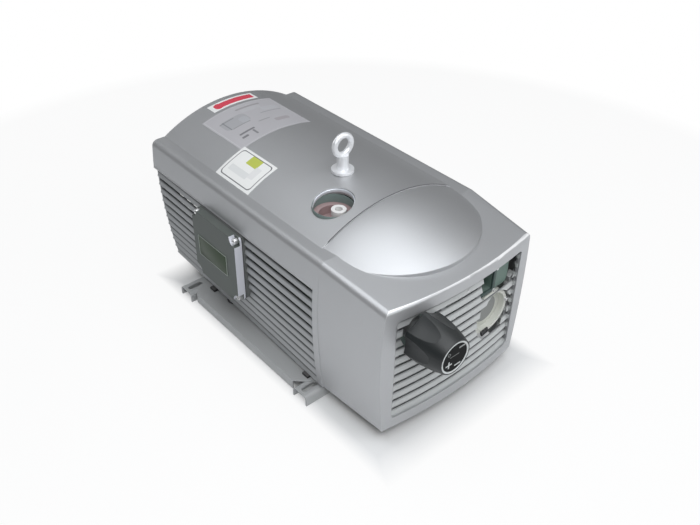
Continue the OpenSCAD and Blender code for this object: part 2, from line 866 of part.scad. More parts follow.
module pump_cylinder() {
    color("darkseagreen") difference() {
        union() {
            bar_y(0, bore_h, cylinder_r, y_cylinder, y_cylinder_end);
            for (a = fin_angles)
                translate([0, y_cylinder + plate_t / 2, bore_h]) rotate([0, -a, 0])
                    translate([0, 0, -fin_t / 2])
                        cube([cylinder_r + pump_fin_h, cylinder_l - plate_t, fin_t]);
            feet(y_buffer_front, bore_h, foot_gap);
        }
        bar_y(0, bore_h, bore_r, y_cylinder - over, y_cylinder_end + over);
        suction_cut();
    }
}

// Opening from the bore up to the intake port
module suction_cut() {
    bar_z(-hole_out, y_hole, duct_r, bore_h + duct_r, port_floor + over);
}

seal_r = shaft_r + seal_land;

// End plate with the bearing's seat on its outer side
module end_plate(y_in, s) {
    y_out = y_in + s * plate_t;
    y_seat = y_in + s * (plate_t - bearing_w);
    difference() {
        bar_y(0, bore_h, plate_r, min(y_in, y_out), max(y_in, y_out));
        bar_y(0, axis_h, bearing_r, min(y_seat, y_out + s * over), max(y_seat, y_out + s * over));
        bar_y(0, axis_h, seal_r, min(y_in, y_out) - over, max(y_in, y_out) + over);
    }
}

module end_plate_front() {
    y_cap = y_cylinder - plate_t;
    color("darkseagreen") {
        difference() {
            end_plate(y_cylinder, -1);
            bar_y(-valve_out, valve_h, valve_duct_r + clear, y_valve - over, y_cylinder + over);
        }
        difference() {
            bar_y(0, axis_h, bearing_r + bearing_cap_t, y_cap - 2 * bearing_cap_t, y_cap);
            bar_y(0, axis_h, bearing_r - bearing_cap_t, y_cap - bearing_cap_t, y_cap + over);
        }
    }
}

module end_plate_rear() {
    color("darkseagreen") difference() {
        union() {
            end_plate(y_cylinder_end, 1);
            bar_z(-eye_out, y_eye, post_r, bore_h + bearing_r + post_r, post_top);
            translate([-eye_out - post_r, y_cylinder_end, bore_h + plate_r - post_r])
                cube([2 * post_r, plate_t, 2 * post_r]);
        }
        bar_z(-eye_out, y_eye, eye_thread / 2, post_top - 2 * eye_thread - over, post_top + over);
        bar_y(0, bore_h, bore_r, y_cylinder - over, y_cylinder_end);
        translate([-eye_out - 2 * post_r, y_eye - 2 * post_r, bore_h])
            cube([4 * post_r, y_cylinder_end - y_eye + 2 * post_r, cylinder_r + clear]);
    }
}

// Ball bearing: two races with a shallow groove between them
module bearing(y, r_in, r_out) {
    third = (r_out - r_in) / 3;
    color("lightgray") translate([0, y, axis_h]) rotate([-90, 0, 0]) difference() {
        cylinder(r = r_out, h = bearing_w);
        translate([0, 0, -over]) cylinder(r = r_in + run, h = bearing_w + 2 * over);
        for (z = [-over, bearing_w - over])
            translate([0, 0, z]) difference() {
                cylinder(r = r_out - third, h = 2 * over);
                cylinder(r = r_in + third, h = 2 * over);
            }
    }
}

module bearing_pump_front() {
    bearing(y_cylinder - plate_t, shaft_r, bearing_r);
}

module bearing_pump_rear() {
    bearing(y_cylinder_end + plate_t - bearing_w, shaft_r, bearing_r);
}

module pump_shaft() {
    color("lightgray") {
        bar_y(0, axis_h, shaft_r, y_cylinder - plate_t - bearing_w / 3, y_shaft_end);
        bar_y(0, axis_h, seal_r - run, y_cylinder - plate_t + bearing_w,
              y_cylinder_end + plate_t - bearing_w);
    }
}

module vane_slot(k, t, r_top) {
    translate([0, y_cylinder + face_gap, axis_h]) rotate([0, k * 360 / vane_count, 0])
        translate([-t / 2, 0, rotor_r - vane_h - vane_inset])
            cube([t, cylinder_l - 2 * face_gap, r_top - rotor_r + vane_h + vane_inset]);
}

module pump_rotor() {
    color("dimgray") difference() {
        bar_y(0, axis_h, rotor_r, y_cylinder + face_gap, y_cylinder_end - face_gap);
        bar_y(0, axis_h, seal_r - run, y_cylinder - over, y_cylinder_end + over);
        for (k = [0 : vane_count - 1]) vane_slot(k, vane_t, rotor_r + over);
    }
}

// Carbon vane, drawn in as it is where the rotor touches the bore
module vane(k) {
    color([0.2, 0.2, 0.2]) intersection() {
        vane_slot(k, vane_t - 2 * run, rotor_r - vane_inset);
        bar_y(0, axis_h, rotor_r - vane_inset, y_cylinder, y_cylinder_end);
    }
}

// Cooling fan and claw coupling
y_hub_pump = y_bell + hub_gap;
y_claws = y_hub_pump + hub_l;
y_hub_motor = y_claws + claw_l + clear;
y_shaft_end = y_claws - blade_t;
y_motor_shaft = y_hub_motor + blade_t;
claw_pitch = 360 / claw_count;

// Sectors of a ring along Y, evenly spread
module sectors(count, start, turn, r_in, r_out, y0, y1) {
    for (k = [0 : count - 1])
        translate([0, y1, axis_h]) rotate([90, 0, 0]) rotate([0, 0, start + k * 360 / count])
            rotate_extrude(angle = turn) translate([r_in, 0]) square([r_out - r_in, y1 - y0]);
}

module coupling_pump() {
    color("slategray") difference() {
        bar_y(0, axis_h, hub_r, y_hub_pump, y_claws + claw_l);
        bar_y(0, axis_h, shaft_r, y_hub_pump - over, y_shaft_end);
        bar_y(0, axis_h, claw_in, y_claws, y_claws + claw_l + over);
        sectors(claw_count, claw_start + claw_turn, claw_pitch - claw_turn, claw_in - over, hub_r + over,
                y_claws, y_claws + claw_l + over);
    }
}

module coupling_motor() {
    y0 = y_claws + clear;
    color("slategray") difference() {
        bar_y(0, axis_h, hub_r, y0, y_hub_motor + hub_l);
        bar_y(0, axis_h, motor_shaft_r, y_motor_shaft, y_hub_motor + hub_l + over);
        bar_y(0, axis_h, claw_in, y0 - over, y_hub_motor);
        sectors(claw_count, claw_start + claw_pitch / 2 + claw_turn, claw_pitch - claw_turn,
                claw_in - over, hub_r + over, y0 - over, y_hub_motor);
    }
}

// Star of soft rubber between the claws
module coupling_star() {
    gap_turn = claw_pitch / 2 - claw_turn;
    inset = gap_turn / 8;
    color([0.75, 0.2, 0.15]) {
        bar_y(0, axis_h, claw_in - clear, y_claws + clear, y_claws + claw_l);
        sectors(2 * claw_count, claw_start + claw_turn + inset, gap_turn - 2 * inset, claw_in / 2, hub_r,
                y_claws + clear, y_claws + claw_l);
    }
}

module cooling_fan() {
    y0 = y_hub_pump + blade_t;
    color("black") difference() {
        union() {
            bar_y(0, axis_h, hub_r + 2 * blade_t, y0, y0 + hub_l - 2 * blade_t);
            bar_y(0, axis_h, fan_r, y0, y0 + blade_t);
            for (k = [0 : fan_blades - 1])
                translate([0, y0, axis_h]) rotate([0, k * 360 / fan_blades, 0])
                    translate([hub_r + blade_t, 0, -blade_t / 2])
                        cube([fan_r - hub_r - 2 * blade_t, fan_w, blade_t]);
        }
        bar_y(0, axis_h, hub_r, y0 - over, y0 + hub_l + over);
    }
}

// Bell housing with air windows between pump and motor
module bell_housing() {
    window_l = bell_l - 4 * bell_wall;
    color("darkseagreen") difference() {
        bar_y(0, axis_h, bell_r, y_bell, y_motor);
        bar_y(0, axis_h, bell_r - bell_wall, y_bell - over, y_motor + over);
        for (k = [0 : bell_windows - 1])
            translate([0, y_bell + 2 * bell_wall, axis_h])
                rotate([0, (k + 0.5) * 360 / bell_windows, 0])
                    translate([0, 0, -fan_r / 4]) cube([2 * bell_r, window_l, fan_r / 2]);
    }
}

// Motor: end shields, finned housing, stator, rotor, shaft, fan and cowl
module shield(y, s) {
    difference() {
        union() {
            bar_y(0, axis_h, motor_r, y, y + shield_t);
            bar_y(0, axis_h, motor_bearing_r + bell_wall, s > 0 ? y - bell_wall : y,
                  s > 0 ? y + shield_t : y + shield_t + bell_wall);
        }
        bar_y(0, axis_h, motor_bearing_r, s > 0 ? y + shield_t - bearing_w : y,
              s > 0 ? y + shield_t + over : y + bearing_w);
        bar_y(0, axis_h, motor_shaft_r + 2 * clear, y - 2 * bell_wall, y + shield_t + 2 * bell_wall);
    }
}

module shield_front() {
    color("darkseagreen") union() {
        shield(y_motor, 1);
        difference() {
            bar_y(0, axis_h, bell_r, y_motor, y_motor + bell_wall);
            bar_y(0, axis_h, motor_r - over, y_motor - over, y_motor + bell_wall + over);
        }
    }
}

module shield_rear() {
    color("darkseagreen") shield(y_housing_end, -1);
}

module motor_housing() {
    color("darkseagreen") difference() {
        union() {
            bar_y(0, axis_h, motor_r, y_housing, y_housing_end);
            for (k = [0 : motor_fins - 1])
                rotate_fin(k * 360 / motor_fins);
            feet(y_buffer_rear, axis_h, motor_foot_gap);
            translate([-box_x, y_housing, axis_h - box_h / 2])
                cube([box_x - stator_out / 2, y_box + box_l - y_housing, box_h]);
        }
        bar_y(0, axis_h, stator_out, y_housing - over, y_housing_end + over);
    }
}

module rotate_fin(a) {
    translate([0, y_housing + shield_t / 2, axis_h]) rotate([0, a, 0])
        translate([0, 0, -blade_t / 2])
            cube([motor_r + motor_fin_h, motor_l - shield_t, blade_t]);
}

module motor_stator() {
    coil_r = (stator_out + motor_rotor_r) / 2;
    color("darkorange") difference() {
        union() {
            bar_y(0, axis_h, stator_out, y_housing + stator_back, y_housing_end - stator_back);
            bar_y(0, axis_h, coil_r + bell_wall, y_housing + stator_back / 2,
                  y_housing_end - stator_back / 2);
        }
        bar_y(0, axis_h, motor_rotor_r + air_gap, y_housing - over, y_housing_end + over);
    }
}

module motor_rotor() {
    color("lightgray") difference() {
        bar_y(0, axis_h, motor_rotor_r, y_housing + stator_back, y_housing_end - stator_back);
        bar_y(0, axis_h, rotor_seat_r, y_housing - over, y_housing_end + over);
    }
}
rotor_seat_r = motor_shaft_r + stub_step;

module motor_shaft() {
    color("lightgray") {
        bar_y(0, axis_h, motor_shaft_r, y_motor_shaft, y_cowl + cowl_l / 2);
        bar_y(0, axis_h, rotor_seat_r, y_housing + clear, y_housing_end - clear);
    }
}

module bearing_motor_front() {
    bearing(y_motor + shield_t - bearing_w, motor_shaft_r, motor_bearing_r);
}

module bearing_motor_rear() {
    bearing(y_housing_end, motor_shaft_r, motor_bearing_r);
}

module motor_fan() {
    y0 = y_cowl + bell_wall + blade_t;
    color("black") difference() {
        union() {
            bar_y(0, axis_h, motor_shaft_r + 2 * blade_t, y0, y0 + cowl_l / 2 - blade_t);
            bar_y(0, axis_h, motor_fan_r / 2, y0, y0 + blade_t);
            for (k = [0 : motor_fan_blades - 1])
                translate([0, y0, axis_h]) rotate([0, k * 360 / motor_fan_blades, 0])
                    translate([motor_shaft_r + blade_t, 0, -blade_t / 2])
                        cube([motor_fan_r - motor_shaft_r - blade_t, cowl_l / 2 - 2 * blade_t, blade_t]);
        }
        bar_y(0, axis_h, motor_shaft_r, y0 - over, y0 + cowl_l);
    }
}

module motor_cowl() {
    cowl_r = motor_r + cowl_wall;
    color("darkseagreen") difference() {
        bar_y(0, axis_h, cowl_r, y_housing_end + clear, y_cowl + cowl_l);
        bar_y(0, axis_h, motor_r, y_housing_end - over, y_cowl + cowl_l - cowl_wall);
        for (k = [-cowl_slots : cowl_slots]) {
            slot_half = sqrt(pow(motor_fan_r, 2) - pow(k * rib_w * 2, 2)) * cowl_slot_share;
            translate([-slot_half, y_cowl + cowl_l - 2 * cowl_wall, axis_h + k * rib_w * 2 - rib_w / 2])
                cube([2 * slot_half, 3 * cowl_wall, rib_w]);
        }
    }
}

// Terminal box on the motor's side
box_x = motor_r + motor_fin_h;
module box_outline(d) {
    round_box(y_box + d, axis_h - box_h / 2 + d, y_box + box_l - d, axis_h + box_h / 2 - d,
              box_wall * 2 - d / 2);
}

module terminal_box() {
    color("slategray") difference() {
        along_x(-box_out + lid_t + gasket_t, -box_x) box_outline(0);
        along_x(-box_out + lid_t + gasket_t - over, -box_x - 2 * box_wall) box_outline(box_wall);
        bar_z(-gland_x, y_gland, gland_thread_r, axis_h - box_h, axis_h);
    }
}
gland_x = box_x + (box_out - lid_t - gasket_t - box_x) * gland_across_share;
gland_thread_r = gland_r * gland_thread_share;
y_gland = y_box + box_l * gland_place_share;

module terminal_gasket() {
    color([0.1, 0.1, 0.1]) along_x(-box_out + lid_t, -box_out + lid_t + gasket_t) difference() {
        box_outline(box_wall / 4);
        box_outline(box_wall);
    }
}

// Lid with notched corners for its screws
module terminal_lid() {
    notch = lid_t;
    color("slategray") difference() {
        along_x(-box_out, -box_out + lid_t) box_outline(0);
        along_x(-box_out + box_wall, -box_out + lid_t + over) box_outline(box_wall);
        for (y = [y_box, y_box + box_l], z = [axis_h - box_h / 2, axis_h + box_h / 2])
            translate([-box_out - over, y, z]) rotate([0, 90, 0])
                cylinder(r = notch, h = lid_t - box_wall + over);
    }
    color("slategray")
        for (y = [y_box, y_box + box_l], z = [axis_h - box_h / 2, axis_h + box_h / 2])
            intersection() {
                along_x(-box_out + box_wall, -box_out + lid_t) box_outline(0);
                translate([-box_out, y, z]) rotate([0, 90, 0]) difference() {
                    cylinder(r = notch + box_wall / 2, h = lid_t);
                    translate([0, 0, -over]) cylinder(r = notch, h = lid_t - box_wall + over);
                }
            }
}

module cable_gland() {
    low = axis_h - box_h / 2;
    color([0.15, 0.15, 0.15]) difference() {
        union() {
            bar_z(-gland_x, y_gland, gland_thread_r, low - gland_r, low + box_wall);
            translate([-gland_x, y_gland, low - gland_r / 2])
                cylinder(r = gland_r, h = gland_r / 2, $fn = 6);
            bar_z(-gland_x, y_gland, gland_r * gland_nut_share, low - 3 * gland_r / 2,
                  low - 2 * gland_r / 3);
        }
        bar_z(-gland_x, y_gland, gland_r / 2, low - 2 * gland_r, low + 2 * box_wall);
    }
}

// Intake port casting: upright port, and a duct forward to the regulating valve
y_valve = y_cylinder - plate_t;
chamber_r = port_bore_r + chamber_step;
module intake_port() {
    color("darkseagreen") difference() {
        union() {
            bar_z(-hole_out, y_hole, port_r, bore_h, port_top_h);
            bar_y(-valve_out, valve_h, valve_duct_r, y_valve, y_hole);
        }
        bar_z(-hole_out, y_hole, port_bore_r, chamber_top - over, port_top_h + over);
        bar_z(-hole_out, y_hole, chamber_r, port_floor, chamber_top);
        bar_z(-hole_out, y_hole, duct_r, bore_h + duct_r, chamber_top);
        bar_y(-valve_out, valve_h, valve_duct_r - duct_wall, y_valve - over, y_hole);
        bar_y(0, bore_h, cylinder_r, y_cylinder, y_cylinder_end + over);
    }
}

module port_plug() {
    color("indianred") difference() {
        union() {
            bar_z(-hole_out, y_hole, port_bore_r - clear, port_top_h - 4 * plug_rim, port_top_h);
            bar_z(-hole_out, y_hole, port_r - clear, port_top_h, port_top_h + plug_rim);
        }
        bar_z(-hole_out, y_hole, port_bore_r - plug_rim,
              port_top_h - 3 * plug_rim, port_top_h + plug_rim + over);
    }
}

module port_nipple() {
    x = -hole_out + nipple_r / 2;
    y = y_hole - nipple_r / 2;
    color("white") difference() {
        union() {
            bar_z(x, y, nipple_r - nipple_step, port_top_h - 3 * plug_rim, port_top_h + nipple_r);
            bar_z(x, y, nipple_r, port_top_h + plug_rim, port_top_h + nipple_r);
        }
        bar_z(x, y, nipple_r / 2, port_top_h, port_top_h + 2 * nipple_r);
    }
}

// Non-return disc under its seat in the port
module check_disc() {
    color("lightgray") {
        bar_z(-hole_out, y_hole, chamber_r - 4 * clear, chamber_top - check_t - run, chamber_top - run);
        bar_z(-hole_out, y_hole, check_t, port_floor + check_travel + over, chamber_top - check_t);
    }
}

// Regulating valve behind the knob
y_knob = y_front - knob_stand;
neck_end = y_knob - knob_l / 4;
plate_r_in = neck_r - neck_wall;
y_bridge = y_valve - bridge_back;
module valve_body() {
    color("lightgray") difference() {
        union() {
            bar_y(-valve_out, valve_h, flange_r, y_valve - 2 * valve_wall, y_valve);
            bar_y(-valve_out, valve_h, valve_duct_r, y_bridge - 2 * valve_wall, y_valve);
            bar_y(-valve_out, valve_h, neck_r, neck_end, y_valve);
        }
        bar_y(-valve_out, valve_h, seat_r, y_bridge, y_valve + over);
        bar_y(-valve_out, valve_h, plate_r_in + run, neck_end - over, y_bridge - 2 * valve_wall);
        bar_y(-valve_out, valve_h, stem_r + clear, y_bridge - 3 * valve_wall, y_bridge + over);
        for (a = [0 : 60 : 300])
            translate([-valve_out, y_bridge + 2 * valve_wall, valve_h]) rotate([0, a, 0])
                cylinder(r = valve_wall, h = 2 * valve_duct_r);
    }
}

module relief_disc() {
    color("gold") {
        bar_y(-valve_out, valve_h, relief_r, y_valve + run, y_valve + valve_wall);
        bar_y(-valve_out, valve_h, stem_r, y_plate - valve_wall - relief_travel, y_valve + valve_wall);
    }
}

y_plate = y_bridge - 2 * valve_wall - spring_l - plate_travel;
module spring_plate() {
    color("lightgray") difference() {
        bar_y(-valve_out, valve_h, plate_r_in, y_plate - valve_wall, y_plate);
        bar_y(-valve_out, valve_h, stem_r + run, y_plate - 2 * valve_wall, y_plate + over);
    }
}

module valve_spring() {
    color("lightgray") difference() {
        bar_y(-valve_out, valve_h, spring_r, y_plate + run, y_bridge - 2 * valve_wall - run);
        bar_y(-valve_out, valve_h, spring_r - spring_wire, y_plate - over, y_bridge);
    }
}

// Knob: a long taper with flats for the fingers and a ring on its face
module knob_profile() {
    // The flank is an arc through base, face and a point that stands out by the swell
    chord = sqrt(pow(knob_l, 2) + pow(knob_base_r - knob_face_r, 2));
    flank_r = (chord * chord / 4 + knob_swell * knob_swell) / (2 * knob_swell);
    lean = atan((knob_base_r - knob_face_r) / knob_l);
    mid_x = (knob_base_r + knob_face_r) / 2;
    reach = flank_r - knob_swell;
    intersection() {
        square([knob_base_r, knob_l]);
        translate([mid_x - reach * cos(lean), knob_l / 2 - reach * sin(lean)]) circle(flank_r);
    }
}

module regulator_knob() {
    bore_depth = y_knob - neck_end + over;
    grip_r = knob_l;
    color([0.12, 0.12, 0.13]) translate([-valve_out, y_knob, valve_h]) rotate([90, 0, 0])
        difference() {
            rotate_extrude() knob_profile();
            translate([0, 0, -over]) cylinder(r = neck_r + run, h = bore_depth + over);
            translate([0, 0, bore_depth - over]) cylinder(r = plate_r_in - over, h = knob_l / 3);
            for (k = [0 : knob_grips - 1])
                rotate([0, 0, k * 360 / knob_grips])
                    translate([knob_base_r + grip_r - 2 * knob_swell, 0, -over])
                        cylinder(r = grip_r, h = knob_l * grip_share);
            translate([0, 0, knob_l - knob_swell / 2])
                cylinder(r = knob_face_r - knob_rim, h = knob_l);
        }
}

// Cap in the knob's face, with a raised ring
module knob_cap() {
    cap_r = knob_face_r - knob_rim - run;
    color("white") translate([-valve_out, y_knob - knob_l + knob_swell / 2, valve_h]) rotate([90, 0, 0])
        difference() {
            cylinder(r = cap_r, h = knob_swell / 2);
            translate([0, 0, knob_swell / 4]) cylinder(r = cap_r - cap_ring_w, h = knob_swell);
        }
}

// Exhaust side at the front right: silencer cup with its cap, and the outlet box
cup_y = y_front + cup_back;
module silencer_cup() {
    y_seat = y_cylinder - plate_t;
    color("wheat") difference() {
        union() {
            bar_y(outlet_x, outlet_h, cup_r, cup_y, y_seat - 2 * cup_r / 3);
            bar_y(outlet_x, outlet_h, cup_r - 2 * cup_wall, y_seat - cup_r, y_seat);
        }
        bar_y(outlet_x, outlet_h, cup_r - cup_wall, cup_y - over, cup_y + 2 * cup_wall);
        bar_y(0, axis_h, bearing_r + 2 * cup_wall, cup_y, y_seat + over);
    }
}

module silencer_cap() {
    color("gray") bar_y(outlet_x - cup_wall, outlet_h + cup_wall, cup_r - 3 * cup_wall,
                        cup_y + cup_wall, cup_y + 2 * cup_wall);
}

box_low = outlet_h + cup_r + exhaust_gap;
module exhaust_box() {
    y_seat = y_cylinder - plate_t;
    color("darkseagreen") difference() {
        along_y(y_seat - exhaust_l, y_seat)
            round_box(exhaust_left, box_low, exhaust_left + exhaust_w, box_low + exhaust_h, 2 * cup_wall);
        along_y(y_seat - exhaust_l - over, y_seat - exhaust_l + mouth_l)
            round_box(exhaust_left + 2 * cup_wall, box_low + cup_wall,
                      exhaust_left + 2 * cup_wall + mouth_w, box_low + cup_wall + mouth_h, cup_wall / 2);
    }
}

base_pan();
rail_front();
rail_rear();
buffer_front_left();
buffer_front_right();
buffer_rear_left();
buffer_rear_right();
bearer_front();
bearer_rear();
hood_shell();
louvre_left();
louvre_right();
front_grille();
rear_panel();
eye_bolt();
pump_cylinder();
end_plate_front();
end_plate_rear();
bearing_pump_front();
bearing_pump_rear();
pump_rotor();
pump_shaft();
vane(0);  // vane_1
vane(1);  // vane_2
vane(2);  // vane_3
vane(3);  // vane_4
vane(4);  // vane_5
coupling_pump();
coupling_star();
coupling_motor();
cooling_fan();
bell_housing();
shield_front();
motor_housing();
motor_stator();
shield_rear();
bearing_motor_front();
bearing_motor_rear();
motor_rotor();
motor_shaft();
motor_fan();
motor_cowl();
terminal_box();
terminal_gasket();
terminal_lid();
cable_gland();
intake_port();
port_plug();
port_nipple();
check_disc();
valve_body();
regulator_knob();
knob_cap();
spring_plate();
valve_spring();
relief_disc();
silencer_cup();
silencer_cap();
exhaust_box();
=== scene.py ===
from math import cos, pi, radians, sin, sqrt, tau

import bpy
from mathutils import Matrix, Vector


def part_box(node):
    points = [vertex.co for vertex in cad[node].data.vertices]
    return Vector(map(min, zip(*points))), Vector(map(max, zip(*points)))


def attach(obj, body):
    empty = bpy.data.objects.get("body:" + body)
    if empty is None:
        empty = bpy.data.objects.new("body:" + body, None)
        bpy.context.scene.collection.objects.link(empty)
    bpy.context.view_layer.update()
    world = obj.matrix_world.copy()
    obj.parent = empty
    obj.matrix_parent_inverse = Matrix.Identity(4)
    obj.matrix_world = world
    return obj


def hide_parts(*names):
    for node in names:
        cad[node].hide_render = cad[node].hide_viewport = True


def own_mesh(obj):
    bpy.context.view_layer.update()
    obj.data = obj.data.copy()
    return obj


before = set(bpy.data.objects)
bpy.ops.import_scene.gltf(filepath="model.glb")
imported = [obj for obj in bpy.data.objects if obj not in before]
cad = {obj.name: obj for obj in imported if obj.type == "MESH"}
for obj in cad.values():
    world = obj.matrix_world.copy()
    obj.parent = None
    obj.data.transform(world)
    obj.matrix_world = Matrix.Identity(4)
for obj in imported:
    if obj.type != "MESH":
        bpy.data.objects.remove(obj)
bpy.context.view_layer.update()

bpy.ops.object.select_all(action="DESELECT")

# Studio
# The machine stands on a plain pale floor in a white room under soft square lamps. The camera
# looks down on its front left corner, as in the photograph.
scene = bpy.context.scene
scene.view_settings.view_transform = "Standard"

camera_place = (-0.8024, -0.92045, 1.0546)
camera_turn, camera_dip, camera_roll = -41.57, 36.988, 1.149
camera_data = bpy.data.cameras.new("camera")
camera_data.sensor_width = 36.0
camera_data.lens = 41.80
camera_data.clip_start = 0.05
camera_data.clip_end = 30.0
camera = bpy.data.objects.new("camera", camera_data)
scene.collection.objects.link(camera)
camera.matrix_world = (Matrix.Translation(camera_place)
                       @ Matrix.Rotation(radians(camera_turn), 4, "Z")
                       @ Matrix.Rotation(radians(90 - camera_dip), 4, "X")
                       @ Matrix.Rotation(radians(camera_roll), 4, "Z"))
scene.camera = camera


def feed(node, feeds):
    """Give a shader node's inputs their numbers, colours or the sockets that they come from."""
    for key, value in feeds.items():
        if isinstance(value, bpy.types.NodeSocket):
            node.id_data.links.new(value, node.inputs[key])
        else:
            node.inputs[key].default_value = value


def add_node(tree, kind, feeds=None, **settings):
    """A new shader node with its settings and with what feeds its inputs."""
    node = tree.nodes.new("ShaderNode" + kind)
    for key, value in settings.items():
        setattr(node, key, value)
    feed(node, feeds or {})
    return node


def math_of(tree, operation, *values):
    """The result of a sum on numbers or sockets."""
    return add_node(tree, "Math", dict(enumerate(values)), operation=operation).outputs[0]


def vector_math_of(tree, operation, *values):
    """The result of a sum on vectors, which is a number for a length."""
    node = add_node(tree, "VectorMath", dict(enumerate(values)), operation=operation)
    return node.outputs["Value" if operation == "LENGTH" else "Vector"]


def ramp(tree, value, start, end, high=1.0):
    """0 where a value is at the start or before it, up to high at the end and past it."""
    feeds = {"Value": value, "From Min": start, "From Max": end, "To Max": high}
    return add_node(tree, "MapRange", feeds).outputs["Result"]


def parts_of(tree, kind, output):
    """The X, Y and Z of the place or the normal that a node of one kind gives."""
    source = add_node(tree, kind).outputs[output]
    return add_node(tree, "SeparateXYZ", {0: source}).outputs


ambient_light, mirrored_share = 0.10, 0.05
world = bpy.data.worlds.new("white_room")
scene.world = world
world.use_nodes = True
room = world.node_tree
sight = add_node(room, "LightPath").outputs
seen = math_of(room, "MAXIMUM", sight["Is Camera Ray"], sight["Is Transmission Ray"])
white_share = add_node(room, "Math", {0: sight["Is Glossy Ray"], 1: mirrored_share, 2: seen},
                       operation="MULTIPLY_ADD", use_clamp=True)
room_light = add_node(room, "Mix", {"Factor": white_share.outputs[0], "A": ambient_light, "B": 1.0})
feed(room.nodes["Background"], {"Color": (1.0, 1.0, 1.0, 1.0), "Strength": room_light.outputs["Result"]})


def softbox(name, place, target, size, power, colour=(1.0, 1.0, 1.0)):
    """A soft square lamp at a place, aimed at a target."""
    lamp_data = bpy.data.lights.new(name, "AREA")
    lamp_data.shape = "RECTANGLE"
    lamp_data.size, lamp_data.size_y = size
    lamp_data.energy = power
    lamp_data.color = colour
    lamp = bpy.data.objects.new(name, lamp_data)
    scene.collection.objects.link(lamp)
    lamp.location = place
    lamp.rotation_euler = (Vector(target) - Vector(place)).to_track_quat("-Z", "Y").to_euler()


machine_middle, hood_front, front_grille_middle = (0.0, 0.0, 0.2), (-0.05, -0.1, 0.2), (0.0, -0.2, 0.25)
cool_white = (0.94, 0.97, 1.0)
softbox("lamp_key", (-0.80, -0.95, 1.25), machine_middle, (0.6, 0.6), 6)
softbox("lamp_ceiling", (-0.35, 0.0, 2.5), hood_front, (2.4, 2.6), 39, cool_white)
softbox("lamp_front", (0.15, -1.5, 2.2), hood_front, (2.8, 1.2), 27, cool_white)
softbox("lamp_window", (1.7, -1.7, 0.8), front_grille_middle, (1.3, 1.0), 9)
softbox("lamp_rear", (0.1, 2.4, 0.45), machine_middle, (1.8, 0.7), 9)

bpy.ops.mesh.primitive_plane_add(size=60.0)
floor = bpy.context.object
floor.name = "floor"
floor_paint = bpy.data.materials.new("floor_white")
floor_paint.use_nodes = True
floor_tree = floor_paint.node_tree
floor_shader = floor_tree.nodes["Principled BSDF"]
feed(floor_shader, {"Base Color": (0.80, 0.80, 0.80, 1.0), "Roughness": 0.9, "Specular IOR Level": 0.1})
# the floor stays in shade under the machine, and fades to white around it
floor_parts = parts_of(floor_tree, "TexCoord", "Object")
white_sides = [
    ramp(floor_tree, math_of(floor_tree, "ABSOLUTE", floor_parts[side]), inner, outer, high=0.90)
    for side, inner, outer in (("X", 0.185, 0.215), ("Y", 0.30, 0.36))]
# and far away it is as white as the world behind it
fade_start, fade_end = 0.45, 1.3
floor_place = add_node(floor_tree, "TexCoord").outputs["Object"]
far_white = ramp(floor_tree, vector_math_of(floor_tree, "LENGTH", floor_place), fade_start, fade_end)
floor_white = math_of(floor_tree, "MAXIMUM", math_of(floor_tree, "MAXIMUM", *white_sides), far_white)
floor_sight = add_node(floor_tree, "LightPath").outputs["Is Camera Ray"]
floor_mix = add_node(floor_tree, "MixShader", {
    "Fac": math_of(floor_tree, "MULTIPLY", floor_sight, floor_white),
    1: floor_shader.outputs["BSDF"],
    2: add_node(floor_tree, "Emission").outputs["Emission"]})
feed(floor_tree.nodes["Material Output"], {"Surface": floor_mix.outputs["Shader"]})
floor.data.materials.append(floor_paint)
bpy.ops.object.select_all(action="DESELECT")

# Bolting rails and base pan
# Two channels folded from thin steel sheet, with a bolt slot at each end, carry the folded pan.
# Two folded strips on the rubber buffers carry the pump's and the motor's feet. All are painted
# grey, and their bent edges are round.


def start_group(name, inputs, outputs):
    """A new group of shader nodes with its sockets, and its last node."""
    group = bpy.data.node_groups.new(name, "ShaderNodeTree")
    for direction, sockets in (("INPUT", inputs), ("OUTPUT", outputs)):
        for socket, kind in sockets.items():
            group.interface.new_socket(socket, in_out=direction, socket_type="NodeSocket" + kind)
    return group, group.nodes.new("NodeGroupOutput")


def make_grain_group():
    """Fine grain, cloudy unevenness and settled dust, for every painted or moulded skin."""
    group, outside = start_group(
        "skin_grain",
        {"Vector": "Vector", "Colour": "Color", "Flake": "Float", "Grain Scale": "Float",
         "Cloud": "Float", "Roughness": "Float", "Dust": "Float"},
        {"Colour": "Color", "Roughness": "Float", "Height": "Float"})
    given = group.nodes.new("NodeGroupInput").outputs

    def noise(scale, detail):
        """A noise on the piece's own coordinates."""
        feeds = {"Vector": given["Vector"], "Scale": scale, "Detail": detail}
        return add_node(group, "TexNoise", feeds).outputs["Fac"]

    def spread(pattern, amount):
        """The pattern, centred and scaled, as a change of brightness about 1."""
        centred = math_of(group, "SUBTRACT", pattern, 0.5)
        return math_of(group, "MULTIPLY_ADD", centred, given[amount], 1.0)

    fine = noise(given["Grain Scale"], 2.0)
    broad = noise(7.0, 4.0)
    brightness = math_of(group, "MULTIPLY", spread(fine, "Flake"), spread(broad, "Cloud"))
    tinted = add_node(group, "VectorMath", {0: given["Colour"], "Scale": brightness}, operation="SCALE")
    # dust lies on faces that look up
    upward = ramp(group, parts_of(group, "NewGeometry", "Normal")["Z"], 0.55, 1.0)
    settled = math_of(group, "MULTIPLY", upward, noise(22.0, 6.0))
    dust = math_of(group, "MULTIPLY", settled, given["Dust"])
    dust_colour = (0.52, 0.51, 0.49, 1.0)
    dusty = add_node(group, "Mix", {"Factor": dust, "A": tinted.outputs[0], "B": dust_colour},
                     data_type="RGBA")
    feed(outside, {"Colour": dusty.outputs["Result"],
                   "Roughness": math_of(group, "MULTIPLY_ADD", dust, 0.6, given["Roughness"]),
                   "Height": fine})
    return group


grain_group = make_grain_group()


